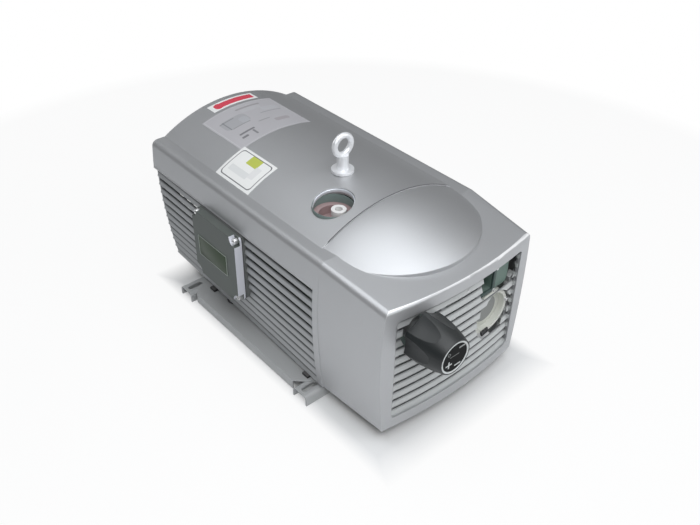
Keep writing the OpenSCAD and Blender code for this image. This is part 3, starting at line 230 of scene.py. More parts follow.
def skin(name, colour, roughness, metallic=0.0, flake=0.06, grain=900.0, cloud=0.06, dust=0.08,
         bump=0.04, bump_m=0.0002, edge=0.0008, coat=0.0, specular=0.5):
    """A painted or moulded finish: the grain group in front of a Principled shader, with the
    small roundness that every real edge has."""
    material = bpy.data.materials.new(name)
    material.use_nodes = True
    tree = material.node_tree
    grained = add_node(tree, "Group", {
        "Vector": add_node(tree, "TexCoord").outputs["Object"], "Colour": (*colour, 1.0),
        "Flake": flake, "Grain Scale": grain, "Cloud": cloud, "Roughness": roughness,
        "Dust": dust}, node_tree=grain_group).outputs
    relief = add_node(tree, "Bump", {"Strength": bump, "Distance": bump_m, "Height": grained["Height"]})
    if edge:
        rounded = add_node(tree, "Bevel", {"Radius": edge}, samples=4)
        feed(relief, {"Normal": rounded.outputs["Normal"]})
    feed(tree.nodes["Principled BSDF"], {
        "Base Color": grained["Colour"], "Roughness": grained["Roughness"], "Metallic": metallic,
        "Coat Weight": coat, "Coat Roughness": 0.2, "Specular IOR Level": specular,
        "Normal": relief.outputs["Normal"]})
    return material


def dress(names, material):
    """Give CAD nodes a finish."""
    for name in names:
        node = cad[name]
        node.data.materials.clear()
        node.data.materials.append(material)


base_paint = skin("base_grey_paint", (0.49, 0.50, 0.505), 0.42, metallic=0.25, dust=0.16, edge=0.0012)
dress(("rail_front", "rail_rear", "base_pan", "bearer_front", "bearer_rear"), base_paint)

# Rubber buffers and pads
# Four waisted buffers of black rubber between the pan and the bearers keep the machine's shake
# from the floor. The hood's lower edge rests on four small pads glued to the pan near its corners.
rubber = skin("buffer_rubber", (0.022, 0.022, 0.024), 0.7, flake=0.2, grain=500.0, dust=0.25)
dress(("buffer_front_left", "buffer_front_right", "buffer_rear_left", "buffer_rear_right"), rubber)


def finished(name, material, smooth=40):
    """The object just modelled, with its place moved into its mesh, its finish and its body."""
    piece = bpy.context.object
    piece.name = name
    piece.data.name = name
    piece.data.transform(piece.matrix_world)
    piece.matrix_world = Matrix.Identity(4)
    piece.data.materials.clear()
    piece.data.materials.append(material)
    bpy.ops.object.shade_smooth_by_angle(angle=radians(smooth))
    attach(piece, "housing")
    piece.select_set(False)
    return piece


def harden(kind, **values):
    """Add a modifier to the object just modelled and apply it."""
    modifier = bpy.context.object.modifiers.new(kind.lower(), kind)
    for key, value in values.items():
        setattr(modifier, key, value)
    bpy.ops.object.modifier_apply(modifier=modifier.name)


def copied(master, name, change):
    """One more of a finished piece, with its own mesh, moved by a matrix."""
    piece = master.copy()
    piece.data = master.data.copy()
    piece.parent = None
    scene.collection.objects.link(piece)
    piece.name = name
    piece.data.name = name
    piece.matrix_world = Matrix.Identity(4)
    piece.data.transform(change)
    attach(piece, "housing")
    piece.select_set(False)


pan_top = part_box("base_pan")[1][2]
pad_l, pad_w, pad_h = 0.020, 0.016, 0.0052
pad_front_x, pad_front_y, pad_rear_x, pad_rear_y = 0.166, -0.099, 0.158, 0.210
bpy.ops.mesh.primitive_cube_add(size=1.0, location=(-pad_front_x, pad_front_y, pan_top + pad_h / 2),
                                scale=(pad_l, pad_w, pad_h))
bpy.ops.object.mode_set(mode="EDIT")
bpy.ops.mesh.select_all(action="SELECT")
bpy.ops.mesh.subdivide(number_cuts=2)
bpy.ops.object.mode_set(mode="OBJECT")
harden("BEVEL", width=0.0012, segments=2)
pad = finished("hood_pad_front_left", rubber)
for name, x, y in (("front_right", pad_front_x, pad_front_y), ("rear_left", -pad_rear_x, pad_rear_y),
                   ("rear_right", pad_rear_x, pad_rear_y)):
    shift = Matrix.Translation((x + pad_front_x, y - pad_front_y, 0.0))
    copied(pad, "hood_pad_" + name, shift)

# Screws of the pan
# Four zinc-plated hexagon screws on washers hold the folded pan down, two on each of the
# bolting rails.
screw_zinc = skin("screw_zinc", (0.72, 0.72, 0.72), 0.28, metallic=0.85, flake=0.1, dust=0.05, edge=0)


def stand(place, toward):
    """The place of a screw whose head looks towards a direction."""
    return Matrix.Translation(place) @ Vector(toward).to_track_quat("Z", "Y").to_matrix().to_4x4()


def screws(name, flats, stands):
    """Hexagon screws on washers, from the width across their flats: the first is modelled, and
    the others are its copies."""
    head_r, head_h = flats * 0.577, flats * 0.55
    washer_r, washer_t = flats * 0.72, flats / 9
    bpy.ops.mesh.primitive_cylinder_add(vertices=6, radius=head_r, depth=head_h,
                                        location=(0.0, 0.0, washer_t + head_h / 2))
    harden("BEVEL", width=flats / 16, segments=2, limit_method="ANGLE")
    head = bpy.context.object
    bpy.ops.object.transform_apply()
    head.select_set(False)
    bpy.ops.mesh.primitive_cylinder_add(vertices=32, radius=washer_r, depth=washer_t,
                                        location=(0.0, 0.0, washer_t / 2))
    bpy.ops.object.transform_apply()
    harden("BEVEL", width=washer_t / 4, segments=2, limit_method="ANGLE")
    head.select_set(True)
    bpy.ops.object.join()
    bpy.context.object.matrix_world = stands[0]
    first = finished(name + "_1", screw_zinc)
    for number, one in enumerate(stands[1:], 2):
        copied(first, f"{name}_{number}", one @ stands[0].inverted())


pan_screw_x, pan_screw_front, pan_screw_rear = 0.060, -0.1082, 0.2358
screws("pan_screw", 0.010, [stand((x, y, pan_top), (0.0, 0.0, 1.0)) for x in (-pan_screw_x, pan_screw_x)
                            for y in (pan_screw_front, pan_screw_rear)])

# Castings of the pump
# The cylinder, its end plates, the bell housing and the port are grey iron, cast in sand, under
# a grey-green machine paint. Hexagon screws close the front end plate.
casting_paint = skin("casting_green_paint", (0.115, 0.165, 0.145), 0.5, flake=0.12, grain=260.0,
                     cloud=0.2, dust=0.2, bump=0.35, bump_m=0.0006, edge=0.001)
dress(("pump_cylinder", "end_plate_front", "end_plate_rear", "bell_housing", "intake_port"),
      casting_paint)


def middle_of(node):
    """The middle of a CAD node's box."""
    low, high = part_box(node)
    return (Vector(low) + Vector(high)) / 2


def on_circle(x, y, z, radius, degrees):
    """A place on an upright circle that faces the front, from its middle."""
    return (x + radius * cos(radians(degrees)), y, z + radius * sin(radians(degrees)))


ahead = (0.0, -1.0, 0.0)
plate_axis_h = middle_of("end_plate_front").z
# the exhaust box stands on the plate's face
plate_face_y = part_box("exhaust_box")[1][1]
plate_bolt_r = 0.097
plate_bolts = (67.5, 90.0, 112.5, 225.0, 247.5, 270.0, 292.5, 315.0)
screws("end_plate_screw", 0.013, [
    stand(on_circle(0.0, plate_face_y, plate_axis_h, plate_bolt_r, degrees), ahead)
    for degrees in plate_bolts])

# Motor housing
# The finned housing, its shields and the fan cowl are cast and pressed alloy under a smoother
# green paint. Four screws round the cowl hold it to the rear shield.
motor_paint = skin("motor_green_paint", (0.125, 0.17, 0.155), 0.42, flake=0.1, grain=320.0,
                   cloud=0.15, dust=0.2, bump=0.25, bump_m=0.0005, edge=0.001)
dress(("shield_front", "motor_housing", "shield_rear", "motor_cowl"), motor_paint)
cowl_r, cowl_screw_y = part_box("motor_cowl")[1][0], 0.303
shaft_h = middle_of("motor_cowl").z
screws("cowl_screw", 0.008, [
    stand(on_circle(0.0, cowl_screw_y, shaft_h, cowl_r, degrees), on_circle(0.0, 0.0, 0.0, 1.0, degrees))
    for degrees in (45.0, 135.0, 225.0, 315.0)])

# Shafts, bearings, rotors and vanes
# Shafts and bearings are bare ground steel with fine tool marks, and the rotors are turned iron.
# The vanes are graphite, and the stator shows its copper winding.
steel = skin("ground_steel", (0.56, 0.56, 0.57), 0.28, metallic=1.0, flake=0.1, grain=1400.0,
             dust=0.0, bump=0.08, edge=0.0005)
dress(("bearing_pump_front", "bearing_pump_rear", "bearing_motor_front", "bearing_motor_rear",
       "pump_shaft", "motor_shaft"), steel)
iron = skin("machined_iron", (0.22, 0.22, 0.225), 0.4, metallic=0.9, flake=0.2, grain=800.0, dust=0.0)
dress(("pump_rotor", "motor_rotor"), iron)
carbon = skin("vane_carbon", (0.03, 0.03, 0.032), 0.55, flake=0.3, grain=1200.0, dust=0.0)
dress(("vane_1", "vane_2", "vane_3", "vane_4", "vane_5"), carbon)
winding = skin("winding_copper", (0.45, 0.19, 0.07), 0.35, metallic=0.7, flake=0.5, grain=700.0, dust=0.0)
dress(("motor_stator",), winding)

# Coupling and fans
# Two claws of cast aluminium, clamped on the shafts, grip a star of red rubber between them.
# Both fans are black moulded plastic, pressed on their shafts.
cast_alloy = skin("coupling_alloy", (0.42, 0.43, 0.44), 0.45, metallic=0.9, flake=0.2, grain=400.0)
dress(("coupling_pump", "coupling_motor"), cast_alloy)
star_rubber = skin("star_rubber", (0.42, 0.035, 0.02), 0.6, flake=0.1, dust=0.0)
dress(("coupling_star",), star_rubber)
fan_plastic = skin("fan_plastic", (0.02, 0.02, 0.022), 0.45, flake=0.15)
dress(("cooling_fan", "motor_fan"), fan_plastic)

# Sound hood
# One large plastic moulding with a silver-grey metallic lacquer, closed at the back by a panel
# with the same lacquer. A painted highlight, a paler colour laid on the rounded edges round the
# front face, stands in for the shine the lacquer has there.
lacquer = skin("hood_silver_lacquer", (0.530, 0.536, 0.548), 0.50, metallic=0.85, flake=0.1, grain=1500.0,
               cloud=0.05, dust=0.05, bump=0.05, edge=0.0018, coat=0.15)


def blend_in(material, mask, colour):
    """Lay another colour over a finish where a mask is white."""
    shader = material.node_tree.nodes["Principled BSDF"]
    below = shader.inputs["Base Color"].links[0].from_socket
    layer = add_node(material.node_tree, "Mix", {"Factor": mask, "A": below, "B": (*colour, 1.0)},
                     data_type="RGBA")
    feed(shader, {"Base Color": layer.outputs["Result"]})


def make_edge_highlight_group():
    """A mask of the rounded edges round the hood's front face, where a painted highlight is laid."""
    group, outside = start_group("front_edge_mask", {}, {"Mask": "Float"})
    normal = parts_of(group, "NewGeometry", "Normal")
    place = parts_of(group, "TexCoord", "Object")
    near_front = ramp(group, place["Y"], -0.262, -0.272)
    aside = math_of(group, "ABSOLUTE", normal["X"])
    upward = math_of(group, "MULTIPLY", normal["Z"], near_front)
    turned = math_of(group, "MULTIPLY", math_of(group, "MAXIMUM", aside, upward), normal["Y"])
    # the dome above the front edge has none
    below_dome = ramp(group, place["Z"], 0.2842, 0.2828, high=-1.0)
    feed(outside, {"Mask": ramp(group, math_of(group, "MULTIPLY", turned, below_dome), 0.20, 0.40)})
    return group


front_edge_highlight = add_node(lacquer.node_tree, "Group", node_tree=make_edge_highlight_group())
# painted highlight: a pale colour on the rounded edges of the front face
blend_in(lacquer, front_edge_highlight.outputs["Mask"], (0.84, 0.845, 0.855))
dress(("hood_shell", "rear_panel"), lacquer)

# The lower edge of the smooth skirt is rolled outwards into a thin bright lip on each side.
lip_r, lip_h, skirt_x = 0.0016, 0.2432, 0.1794
lip_x = skirt_x - lip_r / 3
lip_front, lip_rear = -0.1292, 0.3642
bpy.ops.mesh.primitive_cylinder_add(vertices=16, radius=lip_r, depth=lip_rear - lip_front,
                                    location=(-lip_x, (lip_front + lip_rear) / 2, lip_h),
                                    rotation=(pi / 2, 0.0, 0.0))
harden("BEVEL", width=0.0006, segments=2, limit_method="ANGLE")
lip_left = finished("skirt_lip_left", lacquer)
copied(lip_left, "skirt_lip_right", Matrix.Translation((2 * lip_x, 0.0, 0.0)))

# Louvres and grille
# Moulded slats, clipped into the openings of the hood, with a duller lacquer than its own. The
# upper part of each slat, which lies in the next one's shade, is painted darker: painted shade.


def make_slat_shade_group():
    """A mask of the upper part of every slat in a row of them, where painted shade is laid."""
    group, outside = start_group(
        "slat_painted_shade_mask", {"Low": "Float", "Pitch": "Float", "Start": "Float"}, {"Mask": "Float"})
    given = group.nodes.new("NodeGroupInput").outputs
    risen = math_of(group, "SUBTRACT", parts_of(group, "TexCoord", "Object")["Z"], given["Low"])
    share = math_of(group, "FRACT", math_of(group, "DIVIDE", risen, given["Pitch"]))
    full_shade = math_of(group, "ADD", given["Start"], 0.16)
    feed(outside, {"Mask": ramp(group, share, given["Start"], full_shade)})
    return group


slat_shade_group = make_slat_shade_group()


def dress_slats(names, colour, shade, low, pitch, start):
    """Give rows of slats their lacquer, with painted shade from a share of each slat's pitch upwards."""
    slat_lacquer = skin("slat_lacquer_" + names[0], colour, 0.44, metallic=0.35, flake=0.1,
                        grain=1500.0, cloud=0.06, dust=0.1, bump=0.05, edge=0.0009, coat=0.1)
    recess = add_node(slat_lacquer.node_tree, "Group", {"Low": low, "Pitch": pitch, "Start": start},
                      node_tree=slat_shade_group)
    # painted shade on the upper part of each slat
    blend_in(slat_lacquer, recess.outputs["Mask"], shade)
    dress(names, slat_lacquer)


slat_count = 11
side_low, side_high = 0.028, 0.243
grille_low, grille_high = 0.049, 0.258
dress_slats(("louvre_left", "louvre_right"), (0.43, 0.44, 0.45), (0.10, 0.105, 0.108),
            low=side_low, pitch=(side_high - side_low) / slat_count, start=0.33)
# the grille gets a lighter lacquer and a lighter shade than the louvres: painted light, for the light from
# the front
dress_slats(("front_grille",), (0.55, 0.565, 0.565), (0.25, 0.255, 0.26),
            low=grille_low, pitch=(grille_high - grille_low) / slat_count, start=0.36)

# Printed films and the seam of the crown
# Thin films glued on the crown: a silver one with faint blocks, a white one with a framed patch,
# and a strip with a red arrow that shows which way the shaft turns. A dark strip laid over the
# seam where the dome begins is painted shade, for the shadow in the seam's groove.
crown_r, crown_axis_h = 0.28402, 0.05598


def crown_h(x):
    """The crown's height above a place across the hood."""
    return crown_axis_h + sqrt(crown_r ** 2 - x ** 2)


def crown_film(name, across, along, lift, material, half_width=None):
    """A thin film on the crown, from its two ends across and along the hood. half_width gives
    its half width at a share of its length."""
    x0, x1 = across
    y0, y1 = along
    middle = (y0 + y1) / 2
    bpy.ops.mesh.primitive_grid_add(x_subdivisions=48, y_subdivisions=6, size=1.0,
                                    location=((x0 + x1) / 2, middle, 0.0))
    film = bpy.context.object
    film.scale = (x1 - x0, y1 - y0, 1.0)
    bpy.ops.object.transform_apply()
    for vertex in film.data.vertices:
        if half_width:
            share = (vertex.co.x - x0) / (x1 - x0)
            vertex.co.y = middle + (vertex.co.y - middle) * half_width(share)
        vertex.co.z = crown_h(vertex.co.x) + lift
    harden("SOLIDIFY", thickness=lift, offset=-1.0)
    finished(name, material, smooth=30)


def make_box_group():
    """1 inside a box with round corners on the X-Y plane, 0 outside, with a soft edge."""
    group, outside = start_group(
        "printed_box",
        {"Vector": "Vector", "Centre": "Vector", "Half Size": "Vector", "Corner": "Float"},
        {"Mask": "Float"})
    given = group.nodes.new("NodeGroupInput").outputs
    soft_edge = 0.0002
    away = vector_math_of(group, "ABSOLUTE",
                          vector_math_of(group, "SUBTRACT", given["Vector"], given["Centre"]))
    flat = vector_math_of(group, "MULTIPLY", away, (1.0, 1.0, 0.0))
    past = vector_math_of(group, "SUBTRACT", flat, given["Half Size"])
    corner = add_node(group, "CombineXYZ", {"X": given["Corner"], "Y": given["Corner"]}).outputs[0]
    kept = vector_math_of(group, "MAXIMUM", vector_math_of(group, "ADD", past, corner), (0.0, 0.0, 0.0))
    outline = math_of(group, "SUBTRACT", vector_math_of(group, "LENGTH", kept), given["Corner"])
    feed(outside, {"Mask": ramp(group, outline, soft_edge, -soft_edge)})
    return group


box_group = make_box_group()


def print_on(material, blocks, upright="Y"):
    """Lay printed blocks over a finish: each is a centre, half size, corner, colour, strength and
    the half size of a hole in it, or nothing. The plane is X with Y, or X with Z."""
    tree = material.node_tree
    parts = parts_of(tree, "TexCoord", "Object")
    plane = add_node(tree, "CombineXYZ", {"X": parts["X"], "Y": parts[upright]}).outputs[0]
    for centre, half, corner, ink, strength, hole in blocks:
        masks = []
        for size in ((half, hole) if hole else (half,)):
            block = add_node(tree, "Group", {
                "Vector": plane, "Centre": (*centre, 0.0), "Half Size": (*size, 0.0),
                "Corner": min(corner, *size)}, node_tree=box_group)
            masks.append(block.outputs["Mask"])
        mask = math_of(tree, "SUBTRACT", *masks) if hole else masks[0]
        blend_in(material, math_of(tree, "MULTIPLY", mask, strength), ink)


silver_film = skin("silver_film", (0.56, 0.55, 0.575), 0.38, metallic=0.3, flake=0.04, cloud=0.3, dust=0.02,
                   edge=0)
line_grey, bar_grey = (0.22, 0.23, 0.24), (0.13, 0.13, 0.14)
print_on(silver_film, [
    ((-0.010, 0.2518), (0.0775, 0.0635), 0.001, (0.66, 0.66, 0.68), 0.8, (0.0763, 0.0623)),
    ((-0.046, 0.268), (0.028, 0.017), 0.010, (0.40, 0.41, 0.43), 0.55, None),
    ((-0.058, 0.281), (0.016, 0.0012), 0.001, line_grey, 0.7, None),
    ((-0.066, 0.267), (0.0012, 0.017), 0.001, line_grey, 0.7, None),
    ((-0.044, 0.250), (0.020, 0.0012), 0.001, line_grey, 0.6, None),
    ((-0.030, 0.262), (0.009, 0.011), 0.006, (0.54, 0.55, 0.58), 0.6, None),
    ((-0.050, 0.224), (0.017, 0.0026), 0.002, bar_grey, 0.7, None),
    ((-0.062, 0.212), (0.007, 0.0030), 0.002, bar_grey, 0.7, None),
    ((-0.040, 0.211), (0.0022, 0.009), 0.002, (0.17, 0.17, 0.18), 0.7, None),
    ((0.004, 0.301), (0.028, 0.0026), 0.002, (0.26, 0.24, 0.25), 0.5, None),
    ((0.004, 0.290), (0.022, 0.0060), 0.004, (0.62, 0.63, 0.65), 0.4, None),
    ((-0.002, 0.236), (0.013, 0.0014), 0.001, (0.22, 0.22, 0.23), 0.5, None),
    ((0.030, 0.222), (0.016, 0.0060), 0.004, (0.40, 0.36, 0.38), 0.6, None),
    ((0.032, 0.262), (0.024, 0.0012), 0.001, (0.27, 0.28, 0.31), 0.6, None),
    ((0.038, 0.276), (0.018, 0.0080), 0.005, (0.60, 0.61, 0.64), 0.5, None),
])
film_t = 0.0002
crown_film("label_silver", (-0.090, 0.070), (0.1858, 0.3178), film_t, silver_film)
white_film = skin("white_film", (0.80, 0.80, 0.79), 0.35, flake=0.01, cloud=0.03, dust=0.02, edge=0)
print_on(white_film, [
    ((-0.1135, 0.1388), (0.0285, 0.0445), 0.007, (0.12, 0.12, 0.13), 0.95, (0.0268, 0.0428)),
    ((-0.096, 0.1370), (0.0095, 0.0150), 0.002, (0.48, 0.53, 0.10), 1.0, None),
    ((-0.124, 0.1480), (0.0060, 0.0260), 0.002, (0.66, 0.67, 0.67), 0.8, None),
    ((-0.1125, 0.1160), (0.0120, 0.0080), 0.002, (0.70, 0.70, 0.70), 0.8, None),
])
crown_film("label_white", (-0.1465, -0.0805), (0.0888, 0.1888), film_t, white_film)
crown_film("label_strip", (-0.055, 0.048), (0.3258, 0.3528), film_t, white_film)
seam_shade = skin("seam_shade", (0.10, 0.10, 0.11), 0.6, flake=0.05, dust=0.0, edge=0)
seam_t = 0.0005
# painted shade: a dark strip over the seam
crown_film("crown_seam_shade", (-0.1355, 0.1355), (-0.11505, -0.11365), seam_t, seam_shade)


def arrow_width(share):
    """Half width of the arrow along its length: blunt head on the left, then a broad shaft."""
    blunt_end, neck = 0.10, 0.16
    tip_w, shaft_w = 0.45, 0.78
    if share < blunt_end:
        return tip_w + (1.0 - tip_w) * sqrt(max(share, 0.0) / blunt_end)
    if share < neck:
        return 1.0 - (1.0 - shaft_w) * (share - blunt_end) / (neck - blunt_end)
    return shaft_w


red_ink = skin("red_ink", (0.62, 0.055, 0.09), 0.4, flake=0.02, cloud=0.05, dust=0.02, edge=0)
crown_film("label_arrow", (-0.046, 0.042), (0.3288, 0.3498), 2 * film_t, red_ink, half_width=arrow_width)

# Lifting eye
# A forged eye bolt, zinc plated and a little rough from its plating. It is screwed through the
# crown into the post of the pump below, which takes the whole weight.
zinc = skin("zinc_plate", (0.90, 0.91, 0.93), 0.40, metallic=0.5, flake=0.15, grain=700.0,
            cloud=0.15, dust=0.05, bump=0.2, bump_m=0.0003, edge=0.0008)
dress(("eye_bolt",), zinc)

# Terminal box
# A box of painted sheet steel on the motor's side, with a cast lid over a flat rubber gasket. The
# lid is painted darker, and its side towards the front is painted much paler: a painted highlight
# for the light that falls on it from the front.
box_paint = skin("box_grey_paint", (0.165, 0.175, 0.17), 0.42, metallic=0.2, dust=0.12, edge=0.0012)
dress(("terminal_box",), box_paint)
dress(("terminal_gasket",), rubber)
lid_paint = skin("lid_paint", (0.088, 0.102, 0.094), 0.42, metallic=0.15, dust=0.1, edge=0.0012)
lid_lit_facing = parts_of(lid_paint.node_tree, "NewGeometry", "Normal")
# painted highlight: the lid's faces that look to the front are made pale
blend_in(lid_paint, ramp(lid_paint.node_tree, lid_lit_facing["Y"], -0.35, -0.65), (0.74, 0.75, 0.81))
dress(("terminal_lid",), lid_paint)

# A bare anodised plate lies in a thin raised frame on the lid.
plate_finish = skin("plate_olive", (0.034, 0.056, 0.026), 0.34, metallic=0.4, flake=0.06, cloud=0.25,
                    dust=0.1, edge=0.0004)
lid_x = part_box("terminal_lid")[0][0]
plate_y, plate_h = 0.137, 0.168
plate_w, plate_tall, plate_t = 0.089, 0.041, 0.0008
bpy.ops.mesh.primitive_cube_add(size=1.0, location=(lid_x - plate_t / 2, plate_y, plate_h),
                                scale=(plate_t, plate_w, plate_tall))
bpy.ops.object.mode_set(mode="EDIT")
bpy.ops.mesh.select_all(action="SELECT")
bpy.ops.mesh.subdivide(number_cuts=1)
bpy.ops.object.mode_set(mode="OBJECT")
harden("BEVEL", width=0.0003, segments=2)
finished("lid_plate", plate_finish)


def pick_faces(wanted):
    """Go to edit mode with only those faces of the object just added whose normal is wanted."""
    bpy.ops.object.mode_set(mode="EDIT")
    bpy.ops.mesh.select_mode(type="FACE")
    bpy.ops.mesh.select_all(action="DESELECT")
    bpy.ops.object.mode_set(mode="OBJECT")
    for face in bpy.context.object.data.polygons:
        face.select = wanted(face.normal)
    bpy.ops.object.mode_set(mode="EDIT")


def open_through(axis, wall):
    """Open the object just added from end to end along an axis, and leave a wall round it."""
    pick_faces(lambda normal: abs(normal[axis]) > 0.9)
    bpy.ops.mesh.inset(thickness=wall)
    bpy.ops.mesh.bridge_edge_loops()
    bpy.ops.object.mode_set(mode="OBJECT")


def sink_face(toward, rim, depth):
    """Sink the face of the object just added that looks towards a direction, within a rim."""
    direction = Vector(toward)
    pick_faces(lambda normal: normal.dot(direction) > 0.9)
    bpy.ops.mesh.inset(thickness=rim)
    bpy.ops.mesh.extrude_region_move(TRANSFORM_OT_translate={"value": tuple(direction * -depth)})
    bpy.ops.object.mode_set(mode="OBJECT")


frame_finish = skin("frame_alloy", (0.36, 0.40, 0.36), 0.35, metallic=0.6, dust=0.1, edge=0)
frame_w, frame_t = 0.0012, 0.0012
bpy.ops.mesh.primitive_cube_add(size=1.0, location=(lid_x - frame_t / 2, plate_y, plate_h),
                                scale=(frame_t, plate_w + 2 * frame_w, plate_tall + 2 * frame_w))
bpy.ops.object.transform_apply()
open_through(0, frame_w)
harden("BEVEL", width=0.0003, segments=2, limit_method="ANGLE")
finished("lid_plate_frame", frame_finish)

# A zinc-plated screw with a socket sits in each notched corner of the lid.
screw_r, screw_h, notch_x = 0.0058, 0.0085, -0.187
screw_front, screw_top, screw_apart_y, screw_apart_z = 0.0705, 0.2322, 0.1205, 0.1244
bpy.ops.mesh.primitive_cylinder_add(vertices=32, radius=screw_r, depth=screw_h,
                                    location=(notch_x - screw_h / 2, screw_front, screw_top),
                                    rotation=(0.0, pi / 2, 0.0))
bpy.ops.object.transform_apply()
sink_face((-1.0, 0.0, 0.0), rim=0.0024, depth=0.0045)
harden("BEVEL", width=0.0005, segments=2, limit_method="ANGLE")
lid_screw = finished("lid_screw_front_top", screw_zinc)
for name, back, down in (("front_low", 0.0, screw_apart_z), ("rear_top", screw_apart_y, 0.0),
                         ("rear_low", screw_apart_y, screw_apart_z)):
    copied(lid_screw, "lid_screw_" + name, Matrix.Translation((0.0, back, -down)))

# The gland under the box is black plastic, and a rubber grommet lines the pan's hole below it.
black_plastic = skin("black_plastic", (0.018, 0.018, 0.020), 0.45, flake=0.2, grain=1200.0, dust=0.1)
dress(("cable_gland",), black_plastic)
gland = middle_of("cable_gland")
grommet_r, grommet_wire, grommet_sunk = 0.0146, 0.0022, 0.0012
bpy.ops.mesh.primitive_torus_add(major_radius=grommet_r, minor_radius=grommet_wire, major_segments=64,
                                 minor_segments=16, location=(gland.x, gland.y, pan_top - grommet_sunk))
bpy.ops.object.transform_apply()
finished("pan_grommet", rubber, smooth=60)

# Intake port
# The port's casting ends under the round opening of the crown, and its non-return disc is turned
# steel. A pale red plug with a white nipple closes its thread.
dress(("check_disc",), steel)
plug_plastic = skin("plug_red", (0.31, 0.215, 0.215), 0.5, flake=0.1, dust=0.1)
dress(("port_plug",), plug_plastic)
white_plastic = skin("white_plastic", (0.72, 0.71, 0.70), 0.4, flake=0.05, dust=0.05)
dress(("port_nipple",), white_plastic)

# A thin painted sleeve stands round the plug and closes the gap up to the hood's collar.
sleeve_paint = skin("sleeve_grey_green", (0.17, 0.22, 0.21), 0.4, flake=0.1, cloud=0.3, dust=0.1)
port = middle_of("port_plug")
sleeve_r, sleeve_t, sleeve_low, sleeve_high = 0.0357, 0.0008, 0.3042, 0.3235
bpy.ops.mesh.primitive_cylinder_add(vertices=64, radius=sleeve_r, depth=sleeve_high - sleeve_low,
                                    location=(port.x, port.y, (sleeve_low + sleeve_high) / 2))
bpy.ops.object.transform_apply()
open_through(2, sleeve_t)
harden("BEVEL", width=0.0002, segments=2, limit_method="ANGLE")
finished("port_sleeve", sleeve_paint)

# A thin ring lines the edge of the hood's opening; its pale colour is a painted highlight on the lit rim.
rim_highlight_alloy = skin("rim_highlight_alloy", (0.74, 0.77, 0.82), 0.3, metallic=0.4, flake=0.05, dust=0.0, edge=0)
trim_r, trim_wire, trim_stretch, trim_drop = 0.0351, 0.0012, 2.8, 0.0048
bpy.ops.mesh.primitive_torus_add(major_radius=trim_r, minor_radius=trim_wire, major_segments=96,
                                 minor_segments=16, location=(port.x, port.y, 0.0))
bpy.ops.object.transform_apply()
for vertex in bpy.context.object.data.vertices:
    vertex.co.z = vertex.co.z * trim_stretch + crown_h(vertex.co.x) - trim_drop
finished("port_trim", rim_highlight_alloy)

# Regulating valve
# A body of cast alloy with a near-black moulded knob, whose cap has a pale ring and plain marks.
# The knob moves a steel plate, which presses a spring on the relief disc of brass.
dress(("valve_body",), cast_alloy)
dress(("spring_plate", "valve_spring"), steel)
brass = skin("relief_brass", (0.55, 0.38, 0.14), 0.3, metallic=1.0, dust=0.0)
dress(("relief_disc",), brass)
knob_plastic = skin("knob_plastic", (0.012, 0.0145, 0.0155), 0.40, flake=0.25, grain=1300.0, dust=0.06,
                    bump=0.1, edge=0.0012)
dress(("regulator_knob",), knob_plastic)
cap_plastic = skin("knob_cap_plastic", (0.004, 0.0045, 0.005), 0.55, flake=0.1, grain=1300.0, dust=0.02,
                   bump=0.05, edge=0.0004, specular=0.1)
valve_x, valve_h = -0.096, 0.215
pale = (0.62, 0.64, 0.64)
print_on(cap_plastic, [
    ((valve_x, valve_h), (0.0300, 0.0300), 0.030, pale, 1.0, (0.0259, 0.0259)),
    ((-0.1080, 0.2050), (0.0068, 0.0014), 0.0008, pale, 0.9, None),
    ((-0.1080, 0.2050), (0.0014, 0.0068), 0.0008, pale, 0.9, None),
    ((-0.0885, 0.1975), (0.0068, 0.0014), 0.0008, pale, 0.9, None),
    ((-0.0815, 0.2300), (0.0070, 0.0016), 0.0010, pale, 0.5, None),
    ((-0.0970, 0.2190), (0.0100, 0.0008), 0.0006, pale, 0.25, None),
    ((-0.1090, 0.2260), (0.0030, 0.0030), 0.0030, pale, 0.35, (0.0018, 0.0018)),
], upright="Z")
dress(("knob_cap",), cap_plastic)

# The spring is wound from round steel wire between the bridge and the sliding plate, and
# it shortens as the knob is turned in.
wire_r, coil_r, turns, spring_front, spring_rear = 0.0015, 0.0114, 5, -0.2802, -0.2463
bpy.ops.mesh.primitive_circle_add(vertices=10, radius=wire_r, location=(coil_r, 0.0, 0.0),
                                  rotation=(pi / 2, 0.0, 0.0))
bpy.ops.object.transform_apply()
harden("SCREW", axis="Z", angle=tau, iterations=turns, steps=28, render_steps=28,
       use_normal_calculate=True, screw_offset=(spring_rear - spring_front - 2 * wire_r) / turns)
bpy.ops.object.mode_set(mode="EDIT")
bpy.ops.mesh.select_all(action="SELECT")
bpy.ops.mesh.fill_holes(sides=12)
bpy.ops.mesh.normals_make_consistent(inside=False)
bpy.ops.object.mode_set(mode="OBJECT")
bpy.context.object.matrix_world = (Matrix.Translation((valve_x, spring_rear - wire_r, valve_h))
                                   @ Matrix.Rotation(pi / 2, 4, "X"))
coil = finished("regulating_spring", steel, smooth=50)
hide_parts("valve_spring")
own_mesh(coil)

# Exhaust silencer
# A cream moulded cup with a grey disc in its mouth, behind the round cut-out of the grille. The
# outlet's iron casting beside it has the pump's paint in a lighter tone, painted light that stands
# in for the light reaching it inside the hood, and a dark screwed flange.
cup_plastic = skin("cup_cream", (0.64, 0.65, 0.60), 0.32, flake=0.05, dust=0.1)
dress(("silencer_cup",), cup_plastic)
cap_paint = skin("cap_grey", (0.24, 0.25, 0.24), 0.45, metallic=0.3, dust=0.1)
dress(("silencer_cap",), cap_paint)
# painted light: the pump's casting paint, made lighter for the outlet
outlet_lit_paint = skin("outlet_green_lit_paint", (0.138, 0.205, 0.176), 0.45, flake=0.12, grain=260.0,
                    cloud=0.2, dust=0.2, bump=0.3, bump_m=0.0006, edge=0.001)
dress(("exhaust_box",), outlet_lit_paint)

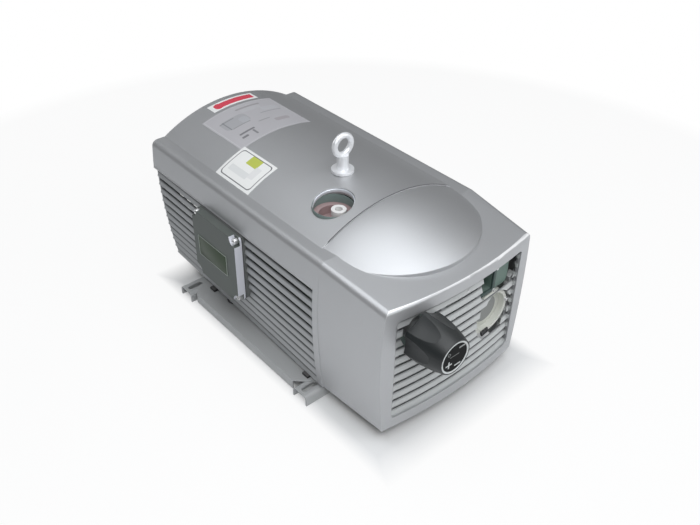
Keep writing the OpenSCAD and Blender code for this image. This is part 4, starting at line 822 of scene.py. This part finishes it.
flange_paint = skin("flange_dark_green", (0.045, 0.075, 0.068), 0.45, flake=0.12, grain=260.0, cloud=0.2,
                    dust=0.1, bump=0.3, bump_m=0.0005, edge=0.0008)
outlet_x, outlet_h, outlet_w, outlet_tall = 0.073, 0.218, 0.030, 0.040
flange_w, flange_t, box_face_y = 0.0062, 0.005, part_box("exhaust_box")[0][1]
bpy.ops.mesh.primitive_cube_add(size=1.0, location=(outlet_x, box_face_y - flange_t / 2, outlet_h),
                                scale=(outlet_w + 2 * flange_w, flange_t, outlet_tall + 2 * flange_w))
bpy.ops.object.transform_apply()
open_through(1, flange_w)
harden("BEVEL", width=0.0012, segments=3, limit_method="ANGLE")
finished("outlet_flange", flange_paint)
aside, above = (outlet_w + flange_w) / 2, (outlet_tall + flange_w) / 2
screws("outlet_screw", 0.005, [stand((x, box_face_y - flange_t, z), ahead)
                               for x in (outlet_x - aside, outlet_x + aside)
                               for z in (outlet_h - above, outlet_h + above)])

# A screw holds the grille at its top, and the cup's rim is held by two screws and a spring clip.
grille_screw_place = (0.0095, -0.2885, 0.2414)
screws("grille_screw", 0.006, [stand(grille_screw_place, ahead)])
cup = middle_of("silencer_cup")
cup_rim_r, cup_face_y = 0.0412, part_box("silencer_cup")[0][1]
screws("cup_screw", 0.006, [stand(on_circle(cup.x, cup_face_y, cup.z, cup_rim_r, degrees), ahead)
                            for degrees in (12.0, 132.0)])
clip_l, clip_t, clip_tall, clip_turn, clip_in = 0.017, 0.004, 0.010, -12.0, 0.001
bpy.ops.mesh.primitive_cube_add(size=1.0, scale=(clip_l, clip_t, clip_tall))
bpy.ops.object.transform_apply()
sink_face(ahead, rim=0.0022, depth=0.0015)
harden("BEVEL", width=0.0006, segments=2, limit_method="ANGLE")
clip_place = (cup.x - clip_l / 2, cup_face_y - clip_t / 2, cup.z - cup_rim_r + clip_in)
bpy.context.object.matrix_world = (Matrix.Translation(clip_place)
                                   @ Matrix.Rotation(radians(clip_turn), 4, "Y"))
finished("cup_clip", black_plastic)
